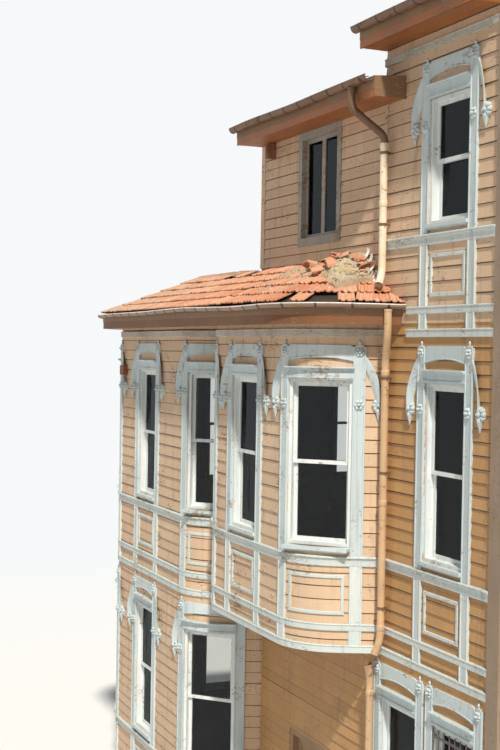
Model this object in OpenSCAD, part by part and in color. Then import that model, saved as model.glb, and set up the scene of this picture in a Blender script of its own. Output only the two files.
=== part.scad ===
// Timber town house: a clapboard house in a row with two bow bays, a tiled skirt roof,
// an attic block and a taller tower bay against the party wall.
// Lengths are in millimetres. The street side faces -Y, and +X is to the right seen from the street.

/* [Plan] */
// Depth from the street wall to the back wall
house_depth = 5400; // [4800:50:7000]
// Right end of the house, at the party wall
party_x = 5060; // [4900:10:5600]
// Left corner of the attic block
attic_x = -1440; // [-1480:10:-1400]
// Left corner of the tower, where it rises above the attic block
tower_x = 2480; // [2430:10:2500]
// Thickness of the timber walls
wall_t = 180; // [140:5:220]
// Thickness of the party wall
party_t = 230; // [150:5:300]

/* [Bow bays] */
// How far both bays stand out of the street wall
bay_reach = 1000; // [960:5:1060]
// Left end of the left bay's flat front
left_bay_x0 = -5250; // [-5400:10:-5200]
// Right end of the left bay's flat front
left_bay_x1 = -2140; // [-2180:10:-2120]
// Right end of the middle bay's flat front
mid_bay_x1 = 1630; // [1610:10:1680]
// Radius of the wide bow corners
bow_r = 800; // [760:10:840]
// Turn of the wide bow corners
bow_turn = 65; // [60:1:70]
// Radius of the narrow corner beside the recess
tight_r = 500; // [450:10:520]
// Turn of the narrow corner beside the recess
tight_turn = 83; // [80:1:86]

/* [Heights] */
// Height of the plinth
plinth_h = 450; // [300:10:600]
// Storey height, belt to belt
storey_h = 4020; // [3900:10:4100]
// Thickness of the floors
floor_t = 200; // [150:10:240]
// Top of the attic block's wall, above the upper belt
attic_wall_h = 2960; // [2900:10:3050]
// Top of the tower's wall, above the upper belt
tower_wall_h = 3640; // [3600:10:3700]

/* [Belts] */
// How far the belts stand out of the boards
belt_out = 45; // [30:1:60]
// Height of the bottom belt of a storey
belt_h = 100; // [80:5:120]
// Middle belt's underside, above the bottom belt's underside
mid_belt_z = 280; // [250:5:300]
// Height of the middle belt
mid_belt_h = 90; // [70:5:110]
// Sill belt's underside, above the bottom belt's underside
sill_belt_z = 1100; // [1060:5:1140]
// Height of the sill belt
sill_belt_h = 130; // [110:5:150]
// How far the sill belt stands out beyond the others
sill_belt_extra = 15; // [10:1:25]
// How far the panel frames stand out
panel_out = 28; // [20:1:35]
// Width of the panel frames' boards
panel_rail = 45; // [35:1:60]
// Gap from a panel frame to the pilasters
panel_side_gap = 60; // [40:5:80]
// Gap from a panel frame to the belts
panel_gap = 110; // [80:5:130]

/* [Windows] */
// Width over the two pilasters
win_w = 1220; // [1180:5:1240]
// Width of a pilaster
pilaster_w = 165; // [140:5:180]
// How far a pilaster stands out of the boards
pilaster_out = 40; // [30:1:45]
// Opening's underside, above the storey's bottom belt
open_z = 1340; // [1320:5:1380]
// Height of the opening on the two lower storeys
open_h = 2130; // [2000:10:2180]
// Height of the opening in the tower's upper storey
upper_open_h = 1490; // [1400:10:1520]
// Width of the box frame's jambs
jamb_w = 40; // [30:1:60]
// Width of a sash's stiles
stile_w = 50; // [40:1:70]
// Thickness of a sash
sash_t = 38; // [30:1:40]
// Recess of the outer sash behind the boards
sash_in = 60; // [40:1:70]
// Thickness of the glass
glass_t = 6; // [4:1:10]
// Height of the lintel board
lintel_h = 100; // [80:5:120]
// Gap of boards between the lintel and the hood
hood_gap = 140; // [120:5:160]
// Height of the hood board at its ends
hood_h = 165; // [150:5:180]
// Rise of the arch cut into the hood's underside
hood_rise = 75; // [40:5:100]
// How far the sills stand out
sill_out = 75; // [65:5:90]
// Height of the sills
sill_h = 65; // [40:5:80]
// Gap between an opening and the lintel board
head_gap = 40; // [20:5:50]
// How far the lintels stand out
lintel_out = 50; // [45:1:60]
// How far the cornice over a lintel stands out
cornice_out = 95; // [80:5:110]
// Height of the cornice
cornice_h = 24; // [15:1:35]
// How far the hoods stand out
hood_out = 32; // [25:1:38]
// How far the pilasters rise above the hoods
pilaster_top = 80; // [60:5:90]
// Start of the bow windows, beyond the end of the flat front
bow_win_s = 20; // [10:1:30]
// Start of the left bay's front window, left of the end of the flat front
left_front_s = 2330; // [2250:10:2400]
// Start of the middle bay's front window, left of the end of the flat front
mid_front_s = 1830; // [1750:10:1880]
// Left edge of the tower's windows
tower_win_x = 3430; // [3300:10:3500]
// Left edges of the windows on the ground floor
ground_win_x = [2480, 3760]; // [2450:10:3800]
// Distance of the end wall's windows from the street wall
end_win_y = [900, 3610]; // [850:10:3700]
// Left edges of the back windows, seen from the back
back_win_x = [-4700, -1900, 1100, 4000]; // [-4750:10:4050]
// Width of the attic's casement openings
attic_win_w = 1200; // [1100:10:1250]
// Height of the attic's casement openings
attic_win_h = 1490; // [1400:10:1520]
// Left edge of the attic's front opening
attic_win_x = -20; // [-100:10:100]
// Underside of the attic's openings, above the upper belt
attic_win_z = 1390; // [1350:10:1400]
// Distance of the attic's side opening from the street wall
attic_side_y = 300; // [250:10:2000]
// Left edge of the attic's back opening, seen from the back
attic_back_x = -1900; // [-2100:10:-200]
// Width of the casing boards round the casements
casing_w = 75; // [50:5:90]
// How far the casing boards stand out
casing_out = 25; // [15:1:30]
// Recess of the casements behind the boards
casement_y = 50; // [40:5:80]
// Width of the attic's corner boards
corner_w = 110; // [90:5:140]
// How far the corner boards stand out
corner_out = 20; // [15:1:25]

/* [Door] */
// Middle of the door under the middle bay
door_x = 560; // [200:10:900]
// Width of the doorway
door_w = 1300; // [1200:10:1400]
// Height of the doorway
door_h = 2350; // [2200:10:2450]
// Width of the door's frame
door_frame = 90; // [70:5:110]
// Thickness of the door leaves
leaf_t = 45; // [38:1:60]

/* [Carving] */
// How far the ribbon bows out beyond the pilaster
ribbon_out = 165; // [140:5:180]
// Height of the ribbon
ribbon_h = 560; // [500:10:600]
// Radius of the rosettes
rosette_r = 88; // [70:1:95]
// Thickness of ribbons and rosettes
carving_t = 56; // [50:1:65]
// Length of the pointed drop below a rosette
drop_h = 200; // [150:5:220]

/* [Eaves and roofs] */
// Overhang of the skirt roof, to the fascia's face
skirt_out = 360; // [300:10:400]
// Overhang of the attic's eave
attic_out = 450; // [400:10:480]
// Overhang of the tower's eave
tower_out = 400; // [340:10:440]
// How far the attic's eave runs on in front of the tower
attic_eave_on = 500; // [400:10:520]
// Thickness of the soffit boards
soffit_t = 40; // [25:1:50]
// Height of the fascias above the soffits
fascia_h = 230; // [200:5:260]
// Drop of the fascias below the soffits
fascia_drop = 20; // [15:1:30]
// Skirt roof's soffit above the upper belt's underside
soffit_z = 170; // [150:5:200]
// Thickness of the fascias
fascia_t = 22; // [18:1:30]
// Width of the half-round gutters
gutter_w = 110; // [90:2:130]
// Wall of the gutters
gutter_t = 5; // [3:1:8]
// Rise of the skirt roof for each unit of run
skirt_pitch = 0.46; // [0.40:0.01:0.50]
// Left end of the skirt roof's ridge
ridge_x0 = -3900; // [-4300:10:-3500]
// Right end of the skirt roof's ridge
ridge_x1 = 1700; // [1500:10:1850]
// Rise of the upper roofs for each unit of run
top_pitch = 0.08; // [0.06:0.01:0.10]

/* [Rubble] */
// Left end of the heap on the skirt roof
heap_x0 = 620; // [560:10:760]
// Top of the heap, left end
heap_peak_x = 1900; // [1800:10:1950]
// Right end of the heap
heap_x1 = 2380; // [2340:10:2400]
// How far the heap reaches down the roof
heap_reach = 640; // [560:10:680]
// Height of the heap over the ridge
heap_rise = 100; // [60:5:120]

/* [Downpipes] */
// Diameter of the downpipes
pipe_d = 96; // [80:2:110]
// Wall of the downpipes
pipe_t = 4; // [2:1:6]
// How much wider the ball elbows are than the pipe
elbow_out = 10; // [4:1:16]
// Height of the clamps
clamp_h = 34; // [25:1:45]

/* [Hidden] */

arc_n = 8;
sill_belt_out = belt_out + sill_belt_extra;
// Longer than any part of the house, for cutting shapes
far = 16000;
origin_y = -house_depth / 2;

// Storey bases, at the underside of each storey's bottom belt
ground_z = plinth_h;
first_z = ground_z + storey_h;
second_z = first_z + storey_h;
eave_z = second_z + soffit_z;
attic_top_z = second_z + attic_wall_h;
tower_top_z = second_z + tower_wall_h;

// A rail is the outline of a bay from its flat front round one corner to the street wall:
// end of the flat, side, corner radius, turn, reach
left_rail_l = [left_bay_x0, -1, bow_r, bow_turn, bay_reach];
left_rail_r = [left_bay_x1, 1, bow_r, bow_turn, bay_reach];
mid_rail_r = [mid_bay_x1, 1, bow_r, bow_turn, bay_reach];
flat_rail = [0, 1, 1, 0, 0];

function mix(a, b, t) = a + (b - a) * t;
function arc_len(r) = r[2] * r[3] * PI / 180;
function corner(r, o, i) =
  let (a = r[3] * i / arc_n)
  [r[0] + r[1] * (r[2] + o) * sin(a), -r[4] + r[2] - (r[2] + o) * cos(a)];
// Point at distance s along a rail, moved out by o
function on_rail(r, o, s) =
  s <= 0 || r[3] == 0 ? [r[0] + r[1] * s, -r[4] - o] :
  s < arc_len(r) ?
    let (u = s / arc_len(r) * arc_n, i = floor(u)) mix(corner(r, o, i), corner(r, o, i + 1), u - i) :
  corner(r, o, arc_n) + (s - arc_len(r)) * [r[1] * cos(r[3]), sin(r[3])];
// Distance along the rail at which it meets the street wall
function rail_end(r, o) = arc_len(r) - corner(r, o, arc_n)[1] / sin(r[3]);
function wall_x(r, o) = on_rail(r, o, rail_end(r, o))[0];
function stops(r, s0, s1) =
  concat([s0],
    r[3] == 0 ? [] : [for (i = [0:arc_n]) let (v = arc_len(r) * i / arc_n) if (v > s0 + 1 && v < s1 - 1) v],
    [s1]);
function run(r, o, s0, s1) =
  let (e = is_undef(s1) ? rail_end(r, o) : s1) [for (s = stops(r, s0, e)) on_rail(r, o, s)];
function back_to_front(p) = [for (i = [len(p) - 1:-1:0]) p[i]];

// The two bays meet at the street wall, in the bottom of the recess between them
end_x = wall_x(left_rail_l, 0);
recess_x = wall_x(left_rail_r, 0);
mid_bay_x0 = recess_x - wall_x([0, -1, tight_r, tight_turn, bay_reach], 0);
mid_rail_l = [mid_bay_x0, -1, tight_r, tight_turn, bay_reach];

// In the recess the trims of the two bays are mitred on the plane half way between the bays' walls
seat = 0.3;
recess_turn = -(180 - bow_turn + tight_turn) / 2;
module beyond_mitre(side) translate([recess_x, 0, 0]) rotate([0, 0, recess_turn])
  bar(-bay_reach, 2 * bay_reach, side < 0 ? -bay_reach : -seat / 2, side < 0 ? seat / 2 : bay_reach, 0, far);

// Straight or bowed strip that follows a rail; without s1 it runs to the street wall
module strip(r, s0, s1, o0, o1, z0, z1) {
  translate([0, 0, z0]) linear_extrude(z1 - z0)
    polygon(concat(run(r, o1, s0, s1), back_to_front(run(r, o0, s0, s1))));
}

module bar(x0, x1, y0, y1, z0, z1) {
  translate([x0, y0, z0]) cube([x1 - x0, y1 - y0, z1 - z0]);
}

// The part's origin is under the middle of the house, and the modules count Y from the street wall
module placed() { translate([0, origin_y, 0]) children(); }
module on_end_wall() { translate([end_x, 0, 0]) rotate([0, 0, -90]) children(); }
module on_attic_side() { translate([attic_x, 0, 0]) rotate([0, 0, -90]) children(); }
module on_back_wall() { translate([0, house_depth, 0]) rotate([0, 0, 180]) children(); }

// Windows are listed as rail and start of the left-most or front-most pilaster
left_bay_windows = [[left_rail_l, bow_win_s], [left_rail_r, -left_front_s], [left_rail_r, bow_win_s]];
mid_bay_windows = [[mid_rail_l, bow_win_s], [mid_rail_r, -mid_front_s], [mid_rail_r, bow_win_s]];

function flat(x) = [flat_rail, x];
street_ground_windows = [for (x = ground_win_x) flat(x)];
end_windows = [for (y = end_win_y) flat(-y - win_w + pilaster_w)];
back_windows = [for (x = back_win_x) flat(x)];

// Chord between a window's pilasters, with x to the right, y inwards and z up
function chord_a(w) = on_rail(w[0], 0, w[1] + pilaster_w);
function chord_b(w) = on_rail(w[0], 0, w[1] + win_w - pilaster_w);
function chord_w(w) = norm(chord_b(w) - chord_a(w));
module at_chord(w) {
  a = w[0][1] > 0 ? chord_a(w) : chord_b(w);
  b = w[0][1] > 0 ? chord_b(w) : chord_a(w);
  translate([a[0], a[1], 0]) rotate([0, 0, atan2(b[1] - a[1], b[0] - a[0])]) children();
}
// Tangent frame at distance s, with x to the right, y inwards and z up
module at_tangent(r, s) {
  p = on_rail(r, 0, s);
  turn = s <= 0 ? 0 : s < arc_len(r) ? (floor(s / arc_len(r) * arc_n) + 0.5) / arc_n * r[3] : r[3];
  translate([p[0], p[1], 0]) rotate([0, 0, r[1] * turn]) children();
}

module window_cut(w, z, h) {
  at_chord(w) bar(0, chord_w(w), -bay_reach / 3, wall_t * 2, z + open_z, z + open_z + h);
}

// Box frame, two hung sashes and their meeting rails
module sash_window(w, z, h) {
  c = chord_w(w);
  z0 = z + open_z;
  z1 = z0 + h;
  inner = sash_in + 2 * sash_t;
  mid = (z0 + z1) / 2;
  at_chord(w) {
    difference() {
      bar(0, c, 0, wall_t, z0, z1);
      bar(jamb_w, c - jamb_w, -1, wall_t + 1, z0 + jamb_w, z1 - jamb_w);
    }
    sash(c, sash_in, mid - stile_w / 2, z1 - jamb_w);
    sash(c, sash_in + sash_t, z0 + jamb_w, mid + stile_w / 2);
    for (x = [jamb_w, c - jamb_w - stile_w / 3])
      bar(x, x + stile_w / 3, inner, wall_t, z0 + jamb_w, z1 - jamb_w);
  }
}
module sash(c, y, z0, z1) {
  difference() {
    bar(jamb_w, c - jamb_w, y, y + sash_t, z0, z1);
    bar(jamb_w + stile_w, c - jamb_w - stile_w, y - 1, y + sash_t + 1, z0 + stile_w, z1 - stile_w);
  }
}
module panes(w, z, h) {
  c = chord_w(w);
  z0 = z + open_z + jamb_w;
  z1 = z + open_z + h - jamb_w;
  mid = (z0 + z1) / 2;
  at_chord(w) {
    pane(c, sash_in, mid + stile_w / 2, z1 - stile_w);
    pane(c, sash_in + sash_t, z0 + stile_w, mid - stile_w / 2);
  }
}
module pane(c, y, z0, z1) {
  y0 = y + (sash_t - glass_t) / 2;
  bar(jamb_w + stile_w, c - jamb_w - stile_w, y0, y0 + glass_t, z0, z1);
}

// Window surround: pilasters, sill, lintel with its cornice, arched hood and carving
function bulge(w) =
  norm(on_rail(w[0], 0, w[1] + win_w / 2) - (chord_a(w) + chord_b(w)) / 2);
lap = 15;
module surround(w, z, h, carved = [-1, 1]) {
  r = w[0];
  b = bulge(w);
  s0 = w[1];
  s1 = s0 + win_w;
  top = z + open_z + h;
  lintel_z = top + head_gap;
  hood_z = lintel_z + lintel_h + hood_gap;
  pil_top = hood_z + hood_h + pilaster_top;
  c = chord_w(w);
  for (s = [s0, s1 - pilaster_w])
    strip(r, s, s + pilaster_w, 0, pilaster_out, z + sill_belt_z + sill_belt_h, pil_top);
  difference() {
    at_chord(w) {
      bar(-lap, c + lap, -b - sill_out, 0, z + open_z - sill_h, z + open_z);
      bar(-lap, c + lap, -b - lintel_out, 0, top, lintel_z + lintel_h);
      bar(-lap - 5, c + lap + 5, -b - cornice_out, 0, lintel_z + lintel_h, lintel_z + lintel_h + cornice_h);
      hood(c, hood_z, b + hood_out);
    }
    wall_mass(r);
  }
  for (e = carved) carving(r, e < 0 ? s0 : s1, e, hood_z + hood_rise);
}
// Everything behind the boards of a rail's wall
bay_len = left_bay_x1 - left_bay_x0;
module wall_mass(r) {
  if (r[3] == 0) bar(-far, far, 0, 2 * wall_t, 0, far);
  else linear_extrude(far) polygon(concat(run(r, 0, -bay_len, undef), [[r[0] - r[1] * bay_len, 0]]));
}
module hood(c, z, out) {
  translate([0, 0, z]) rotate([90, 0, 0]) linear_extrude(out) difference() {
    translate([-lap, 0]) square([c + 2 * lap, hood_h]);
    translate([c / 2, hood_rise - hood_radius(c)]) circle(r = hood_radius(c), $fn = 64);
  }
}
function hood_radius(c) = (pow(c * 0.44, 2) + pow(hood_rise, 2)) / (2 * hood_rise);

// Ribbon that bows out from the pilaster to a rosette with a pointed drop, just clear of the boards
carving_gap = 2;
module carving(r, s, side, top_z) {
  out = side * r[1];
  at_tangent(r, s + side * ribbon_out * 0.5) translate([-out * ribbon_out * 0.5, -carving_gap, 0]) {
    translate([0, 0, top_z - ribbon_h]) rotate([90, 0, 0]) linear_extrude(carving_t)
      polygon([for (i = [0:ribbon_n]) ribbon_edge(i / ribbon_n, 1, 12, out),
        for (i = [ribbon_n:-1:0]) ribbon_edge(i / ribbon_n, 0.45, -18, out)]);
    translate([out * ribbon_out, 0, top_z - ribbon_h]) {
      rotate([90, 0, 0]) cylinder(r = rosette_r, h = carving_t, $fn = 24);
      rotate([90, 0, 0]) cylinder(r = rosette_r * 0.5, h = carving_t * 1.7, $fn = 24);
      rotate([90, 0, 0]) linear_extrude(carving_t)
        polygon([[-rosette_r * 0.4, -rosette_r * 0.5], [rosette_r * 0.4, -rosette_r * 0.5], [0, -drop_h]]);
    }
  }
  at_tangent(r, s - side * pilaster_w / 2) translate([0, -pilaster_out / 2, top_z - ribbon_h]) {
    rotate([90, 0, 0]) cylinder(r = pilaster_w * 0.46, h = pilaster_out / 2 + carving_t * 0.4, $fn = 24);
    rotate([90, 0, 0]) cylinder(r = pilaster_w * 0.25, h = pilaster_out / 2 + carving_t * 0.75, $fn = 24);
  }
}
ribbon_n = 12;
// Point of a ribbon's edge at t from its foot to its top, where it lies at x = root
function ribbon_edge(t, k, root, out) = [out * (ribbon_out * k * sin(90 * (1 - t)) + root * t), t * ribbon_h];

// Belts of one storey on one rail, with lower pilasters and a panel frame under each window
module belts(r, s0, s1, z) {
  low_belts(r, s0, s1, z);
  sill_belt(r, s0, s1, z);
}
module low_belts(r, s0, s1, z) {
  strip(r, s0, s1, 0, belt_out, z, z + belt_h);
  strip(r, s0, s1, 0, belt_out, z + mid_belt_z, z + mid_belt_z + mid_belt_h);
}
module sill_belt(r, s0, s1, z)
  strip(r, s0, s1, 0, sill_belt_out, z + sill_belt_z, z + sill_belt_z + sill_belt_h);
module frieze(r, s0, s1, z) { strip(r, s0, s1, 0, belt_out, z - belt_h, z); }
module apron(w, z) {
  r = w[0];
  s0 = w[1];
  s1 = s0 + win_w;
  pz0 = z + mid_belt_z + mid_belt_h;
  pz1 = z + sill_belt_z;
  for (s = [s0, s1 - pilaster_w]) {
    strip(r, s, s + pilaster_w, 0, pilaster_out, z + belt_h, z + mid_belt_z);
    strip(r, s, s + pilaster_w, 0, pilaster_out, pz0, pz1);
  }
  f0 = s0 + pilaster_w + panel_side_gap;
  f1 = s1 - pilaster_w - panel_side_gap;
  fz0 = pz0 + panel_gap;
  fz1 = pz1 - panel_gap;
  strip(r, f0, f1, 0, panel_out, fz0, fz0 + panel_rail);
  strip(r, f0, f1, 0, panel_out, fz1 - panel_rail, fz1);
  for (s = [f0, f1 - panel_rail])
    strip(r, s, s + panel_rail, 0, panel_out, fz0 + panel_rail, fz1 - panel_rail);
}

// Floors and base
module bay_outline(l, r, inset) {
  back = inset + wall_t;
  polygon(concat(back_to_front(run(l, -inset, 0, undef)), run(r, -inset, 0, undef),
    [[wall_x(r, -inset), back], [wall_x(l, -inset), back]]));
}
module storey_outline(inset, with_mid) {
  bay_outline(left_rail_l, left_rail_r, inset);
  if (with_mid) bay_outline(mid_rail_l, mid_rail_r, inset);
  translate([end_x + inset, inset]) square([party_x - end_x - inset, house_depth - 2 * inset]);
}
module plinth() placed() color("#8f8a82") {
  linear_extrude(plinth_h) storey_outline(-20, false);
}
module first_floor() placed() color("#9a7350")
  translate([0, 0, first_z]) linear_extrude(floor_t) storey_outline(wall_t, true);
module second_floor() placed() color("#9a7350")
  translate([0, 0, eave_z - floor_t]) linear_extrude(floor_t) storey_outline(wall_t, true);
module upper_ceilings() placed() color("#9a7350") {
  bar(attic_x + wall_t, tower_x, wall_t, house_depth - wall_t, attic_top_z - floor_t, attic_top_z);
  bar(tower_x + wall_t, party_x, wall_t, house_depth - wall_t, tower_top_z - floor_t, tower_top_z);
}

// Walls
module left_bay_front() placed() color("#d9a877") difference() {
  bar(left_bay_x0, left_bay_x1, -bay_reach, -bay_reach + wall_t, ground_z, eave_z);
  for (z = [ground_z, first_z]) window_cut(left_bay_windows[1], z, open_h);
}
module left_bay_sides() placed() color("#d9a877") {
  for (w = [left_bay_windows[0], left_bay_windows[2]]) difference() {
    strip(w[0], 0, undef, -wall_t, 0, ground_z, eave_z);
    for (z = [ground_z, first_z]) window_cut(w, z, open_h);
  }
}
module mid_bay_front() placed() color("#e0b183") difference() {
  bar(mid_bay_x0, mid_bay_x1, -bay_reach, -bay_reach + wall_t, first_z, eave_z);
  window_cut(mid_bay_windows[1], first_z, open_h);
}
module mid_bay_sides() placed() color("#e0b183") {
  for (w = [mid_bay_windows[0], mid_bay_windows[2]]) difference() {
    strip(w[0], 0, undef, -wall_t, 0, first_z, eave_z);
    window_cut(w, first_z, open_h);
  }
}
module street_wall() placed() color("#c08a50") difference() {
  bar(wall_x(left_rail_r, 0), party_x, 0, wall_t, ground_z, first_z);
  for (w = street_ground_windows) window_cut(w, ground_z, open_h);
  bar(door_x - door_w / 2, door_x + door_w / 2, -1, wall_t + 1, ground_z - 1, ground_z + door_h);
}
module tower_front_wall() placed() color("#c08a50") difference() {
  bar(tower_x, party_x, 0, wall_t, first_z, tower_top_z);
  window_cut(flat(tower_win_x), first_z, open_h);
  window_cut(flat(tower_win_x), second_z, upper_open_h);
}
module attic_front_wall() placed() color("#d9a877") difference() {
  bar(attic_x, tower_x, 0, wall_t, eave_z, attic_top_z);
  attic_cut() attic_hole();
}
module attic_side_wall() placed() color("#d9a877") difference() {
  bar(attic_x, attic_x + wall_t, wall_t, house_depth - wall_t, eave_z, attic_top_z);
  on_attic_side() attic_side_cut() attic_hole();
}
module attic_cut() translate([attic_win_x, 0, second_z + attic_win_z]) children();
module attic_side_cut() translate([-attic_side_y - attic_win_w, 0, second_z + attic_win_z]) children();
module attic_back_cut() translate([attic_back_x, 0, second_z + attic_win_z]) children();
module attic_hole() bar(0, attic_win_w, -1, wall_t + 1, 0, attic_win_h);
module tower_side_wall() placed() color("#c08a50")
  bar(tower_x, tower_x + wall_t, wall_t, house_depth - wall_t, attic_top_z - floor_t, tower_top_z);
module end_wall() placed() color("#d9a877") difference() {
  bar(end_x, end_x + wall_t, 0, house_depth - wall_t, ground_z, eave_z);
  for (z = [ground_z, first_z], w = end_windows) on_end_wall() window_cut(w, z, open_h);
}
module back_wall() placed() color("#d9a877") difference() {
  bar(end_x, party_x, house_depth - wall_t, house_depth, ground_z, eave_z);
  for (z = [ground_z, first_z], w = back_windows) on_back_wall() window_cut(w, z, open_h);
}
module upper_back_wall() placed() color("#d9a877") difference() {
  union() {
    bar(attic_x, tower_x, house_depth - wall_t, house_depth, eave_z, attic_top_z);
    bar(tower_x, party_x, house_depth - wall_t, house_depth, eave_z, tower_top_z);
  }
  on_back_wall() window_cut(back_windows[0], second_z, upper_open_h);
  on_back_wall() attic_back_cut() attic_hole();
}
module party_wall() placed() color("#7d5a3c")
  bar(party_x, party_x + party_t, -belt_out, house_depth, 0, tower_top_z + fascia_h);

// Belts
module left_bay_belts() placed() color("#e3e8e4") difference() {
  left_bay_trim();
  beyond_mitre(1);
}
module left_bay_trim() {
  for (z = [ground_z, first_z], r = [left_rail_l, left_rail_r])
    belts(r, -bay_len / 2, undef, z);
  for (r = [left_rail_l, left_rail_r]) frieze(r, -bay_len / 2, undef, second_z + belt_h);
  for (z = [ground_z, first_z], w = left_bay_windows) apron(w, z);
}
module mid_bay_belts() placed() color("#e3e8e4") difference() {
  mid_bay_trim();
  beyond_mitre(-1);
}
module mid_bay_trim() {
  half = (mid_bay_x1 - mid_bay_x0) / 2;
  for (r = [mid_rail_l, mid_rail_r]) {
    belts(r, -half, undef, first_z);
    frieze(r, -half, undef, second_z + belt_h);
  }
  for (w = mid_bay_windows) apron(w, first_z);
}
module street_belts() placed() color("#e3e8e4") {
  difference() {
    belts(flat_rail, wall_x(left_rail_r, sill_belt_out), party_x, ground_z);
    bar(door_x - door_w / 2, door_x + door_w / 2, -belt_out * 2, 0, 0, ground_z + door_h);
  }
  belts(flat_rail, wall_x(mid_rail_r, sill_belt_out), party_x, first_z);
  low_belts(flat_rail, wall_x(mid_rail_r, skirt_out + gutter_w), party_x, second_z);
  sill_belt(flat_rail, tower_x, party_x, second_z);
  frieze(flat_rail, tower_x, party_x, tower_top_z - fascia_drop - belt_h);
  for (w = street_ground_windows) apron(w, ground_z);
  apron(flat(tower_win_x), first_z);
  apron(flat(tower_win_x), second_z);
}
module rear_belts() placed() color("#e3e8e4") {
  for (z = [ground_z, first_z]) {
    on_end_wall() belts(flat_rail, -house_depth, 0, z);
    on_back_wall() belts(flat_rail, -party_x, -end_x, z);
    for (w = end_windows) on_end_wall() apron(w, z);
    for (w = back_windows) on_back_wall() apron(w, z);
  }
  on_back_wall() belts(flat_rail, -party_x, -attic_x, second_z);
  on_back_wall() apron(back_windows[0], second_z);
}

// Window surrounds
module left_bay_surrounds() placed() color("#c9d6d4") difference() {
  for (z = [ground_z, first_z], i = [0:2]) surround(left_bay_windows[i], z, open_h, i < 2 ? [-1, 1] : [-1]);
  beyond_mitre(1);
}
module mid_bay_surrounds() placed() color("#c9d6d4") difference() {
  for (i = [0:2]) surround(mid_bay_windows[i], first_z, open_h, i > 0 ? [-1, 1] : [-1]);
  beyond_mitre(-1);
}
module street_surrounds() placed() color("#c9d6d4") {
  for (w = street_ground_windows) surround(w, ground_z, open_h, []);
  surround(flat(tower_win_x), first_z, open_h);
  surround(flat(tower_win_x), second_z, upper_open_h);
}
module rear_surrounds() placed() color("#c9d6d4") {
  for (z = [ground_z, first_z]) {
    for (w = end_windows) on_end_wall() surround(w, z, open_h, []);
    for (w = back_windows) on_back_wall() surround(w, z, open_h, []);
  }
  on_back_wall() surround(back_windows[0], second_z, upper_open_h, []);
}

// Sashes and glass
module left_bay_sashes() placed() color("#dfe5e2")
  for (z = [ground_z, first_z], w = left_bay_windows) sash_window(w, z, open_h);
module mid_bay_sashes() placed() color("#dfe5e2")
  for (w = mid_bay_windows) sash_window(w, first_z, open_h);
module street_sashes() placed() color("#dfe5e2") {
  for (w = street_ground_windows) sash_window(w, ground_z, open_h);
  sash_window(flat(tower_win_x), first_z, open_h);
  sash_window(flat(tower_win_x), second_z, upper_open_h);
}
module rear_sashes() placed() color("#dfe5e2") {
  for (z = [ground_z, first_z]) {
    for (w = end_windows) on_end_wall() sash_window(w, z, open_h);
    for (w = back_windows) on_back_wall() sash_window(w, z, open_h);
  }
  on_back_wall() sash_window(back_windows[0], second_z, upper_open_h);
}
module ground_glass() placed() color("#20343a") {
  for (w = concat(left_bay_windows, street_ground_windows)) panes(w, ground_z, open_h);
  for (w = end_windows) on_end_wall() panes(w, ground_z, open_h);
  for (w = back_windows) on_back_wall() panes(w, ground_z, open_h);
}
module first_glass() placed() color("#20343a") {
  for (w = concat(left_bay_windows, mid_bay_windows, [flat(tower_win_x)])) panes(w, first_z, open_h);
  for (w = end_windows) on_end_wall() panes(w, first_z, open_h);
  for (w = back_windows) on_back_wall() panes(w, first_z, open_h);
}
module second_glass() placed() color("#20343a") {
  panes(flat(tower_win_x), second_z, upper_open_h);
  on_back_wall() panes(back_windows[0], second_z, upper_open_h);
  attic_cut() casement_panes();
  on_back_wall() attic_back_cut() casement_panes();
  on_attic_side() attic_side_cut() casement_panes();
}

// Plain pair of casements in a flat casing
module attic_casements() placed() color("#8d9a9c") {
  attic_cut() casement_pair();
  on_back_wall() attic_back_cut() casement_pair();
  on_attic_side() attic_side_cut() casement_pair();
}
module casement_pair() {
  difference() {
    union() {
      bar(0, attic_win_w, 0, wall_t, 0, attic_win_h);
      bar(-casing_w, attic_win_w + casing_w, -casing_out, 0, -casing_w, attic_win_h + casing_w);
    }
    bar(jamb_w, attic_win_w - jamb_w, -casing_out - 1, wall_t + 1, jamb_w, attic_win_h - jamb_w);
  }
  leaf = (attic_win_w - 2 * jamb_w) / 2;
  for (x = [jamb_w, jamb_w + leaf]) difference() {
    bar(x, x + leaf, casement_y, casement_y + sash_t, jamb_w, attic_win_h - jamb_w);
    bar(x + stile_w, x + leaf - stile_w, casement_y - 1, casement_y + sash_t + 1, jamb_w + stile_w,
      attic_win_h - jamb_w - stile_w);
  }
}
module casement_panes() {
  leaf = (attic_win_w - 2 * jamb_w) / 2;
  y = casement_y + (sash_t - glass_t) / 2;
  for (x = [jamb_w, jamb_w + leaf])
    bar(x + stile_w, x + leaf - stile_w, y, y + glass_t, jamb_w + stile_w, attic_win_h - jamb_w - stile_w);
}

// Plain panelled double door under the middle bay
module entrance_door() placed() color("#7a5a3e") translate([door_x - door_w / 2, 0, ground_z]) {
  difference() {
    bar(0, door_w, 0, wall_t, 0, door_h);
    bar(door_frame, door_w - door_frame, -1, wall_t + 1, -1, door_h - door_frame);
  }
  leaf = (door_w - 2 * door_frame) / 2;
  for (i = [0, 1]) translate([door_frame + i * leaf, wall_t / 2, 0]) difference() {
    bar(0, leaf, 0, leaf_t, 0, door_h - door_frame);
    for (p = [[150, 950], [1080, 2120]]) bar(100, leaf - 100, -1, 15, p[0], p[1]);
  }
}

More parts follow.
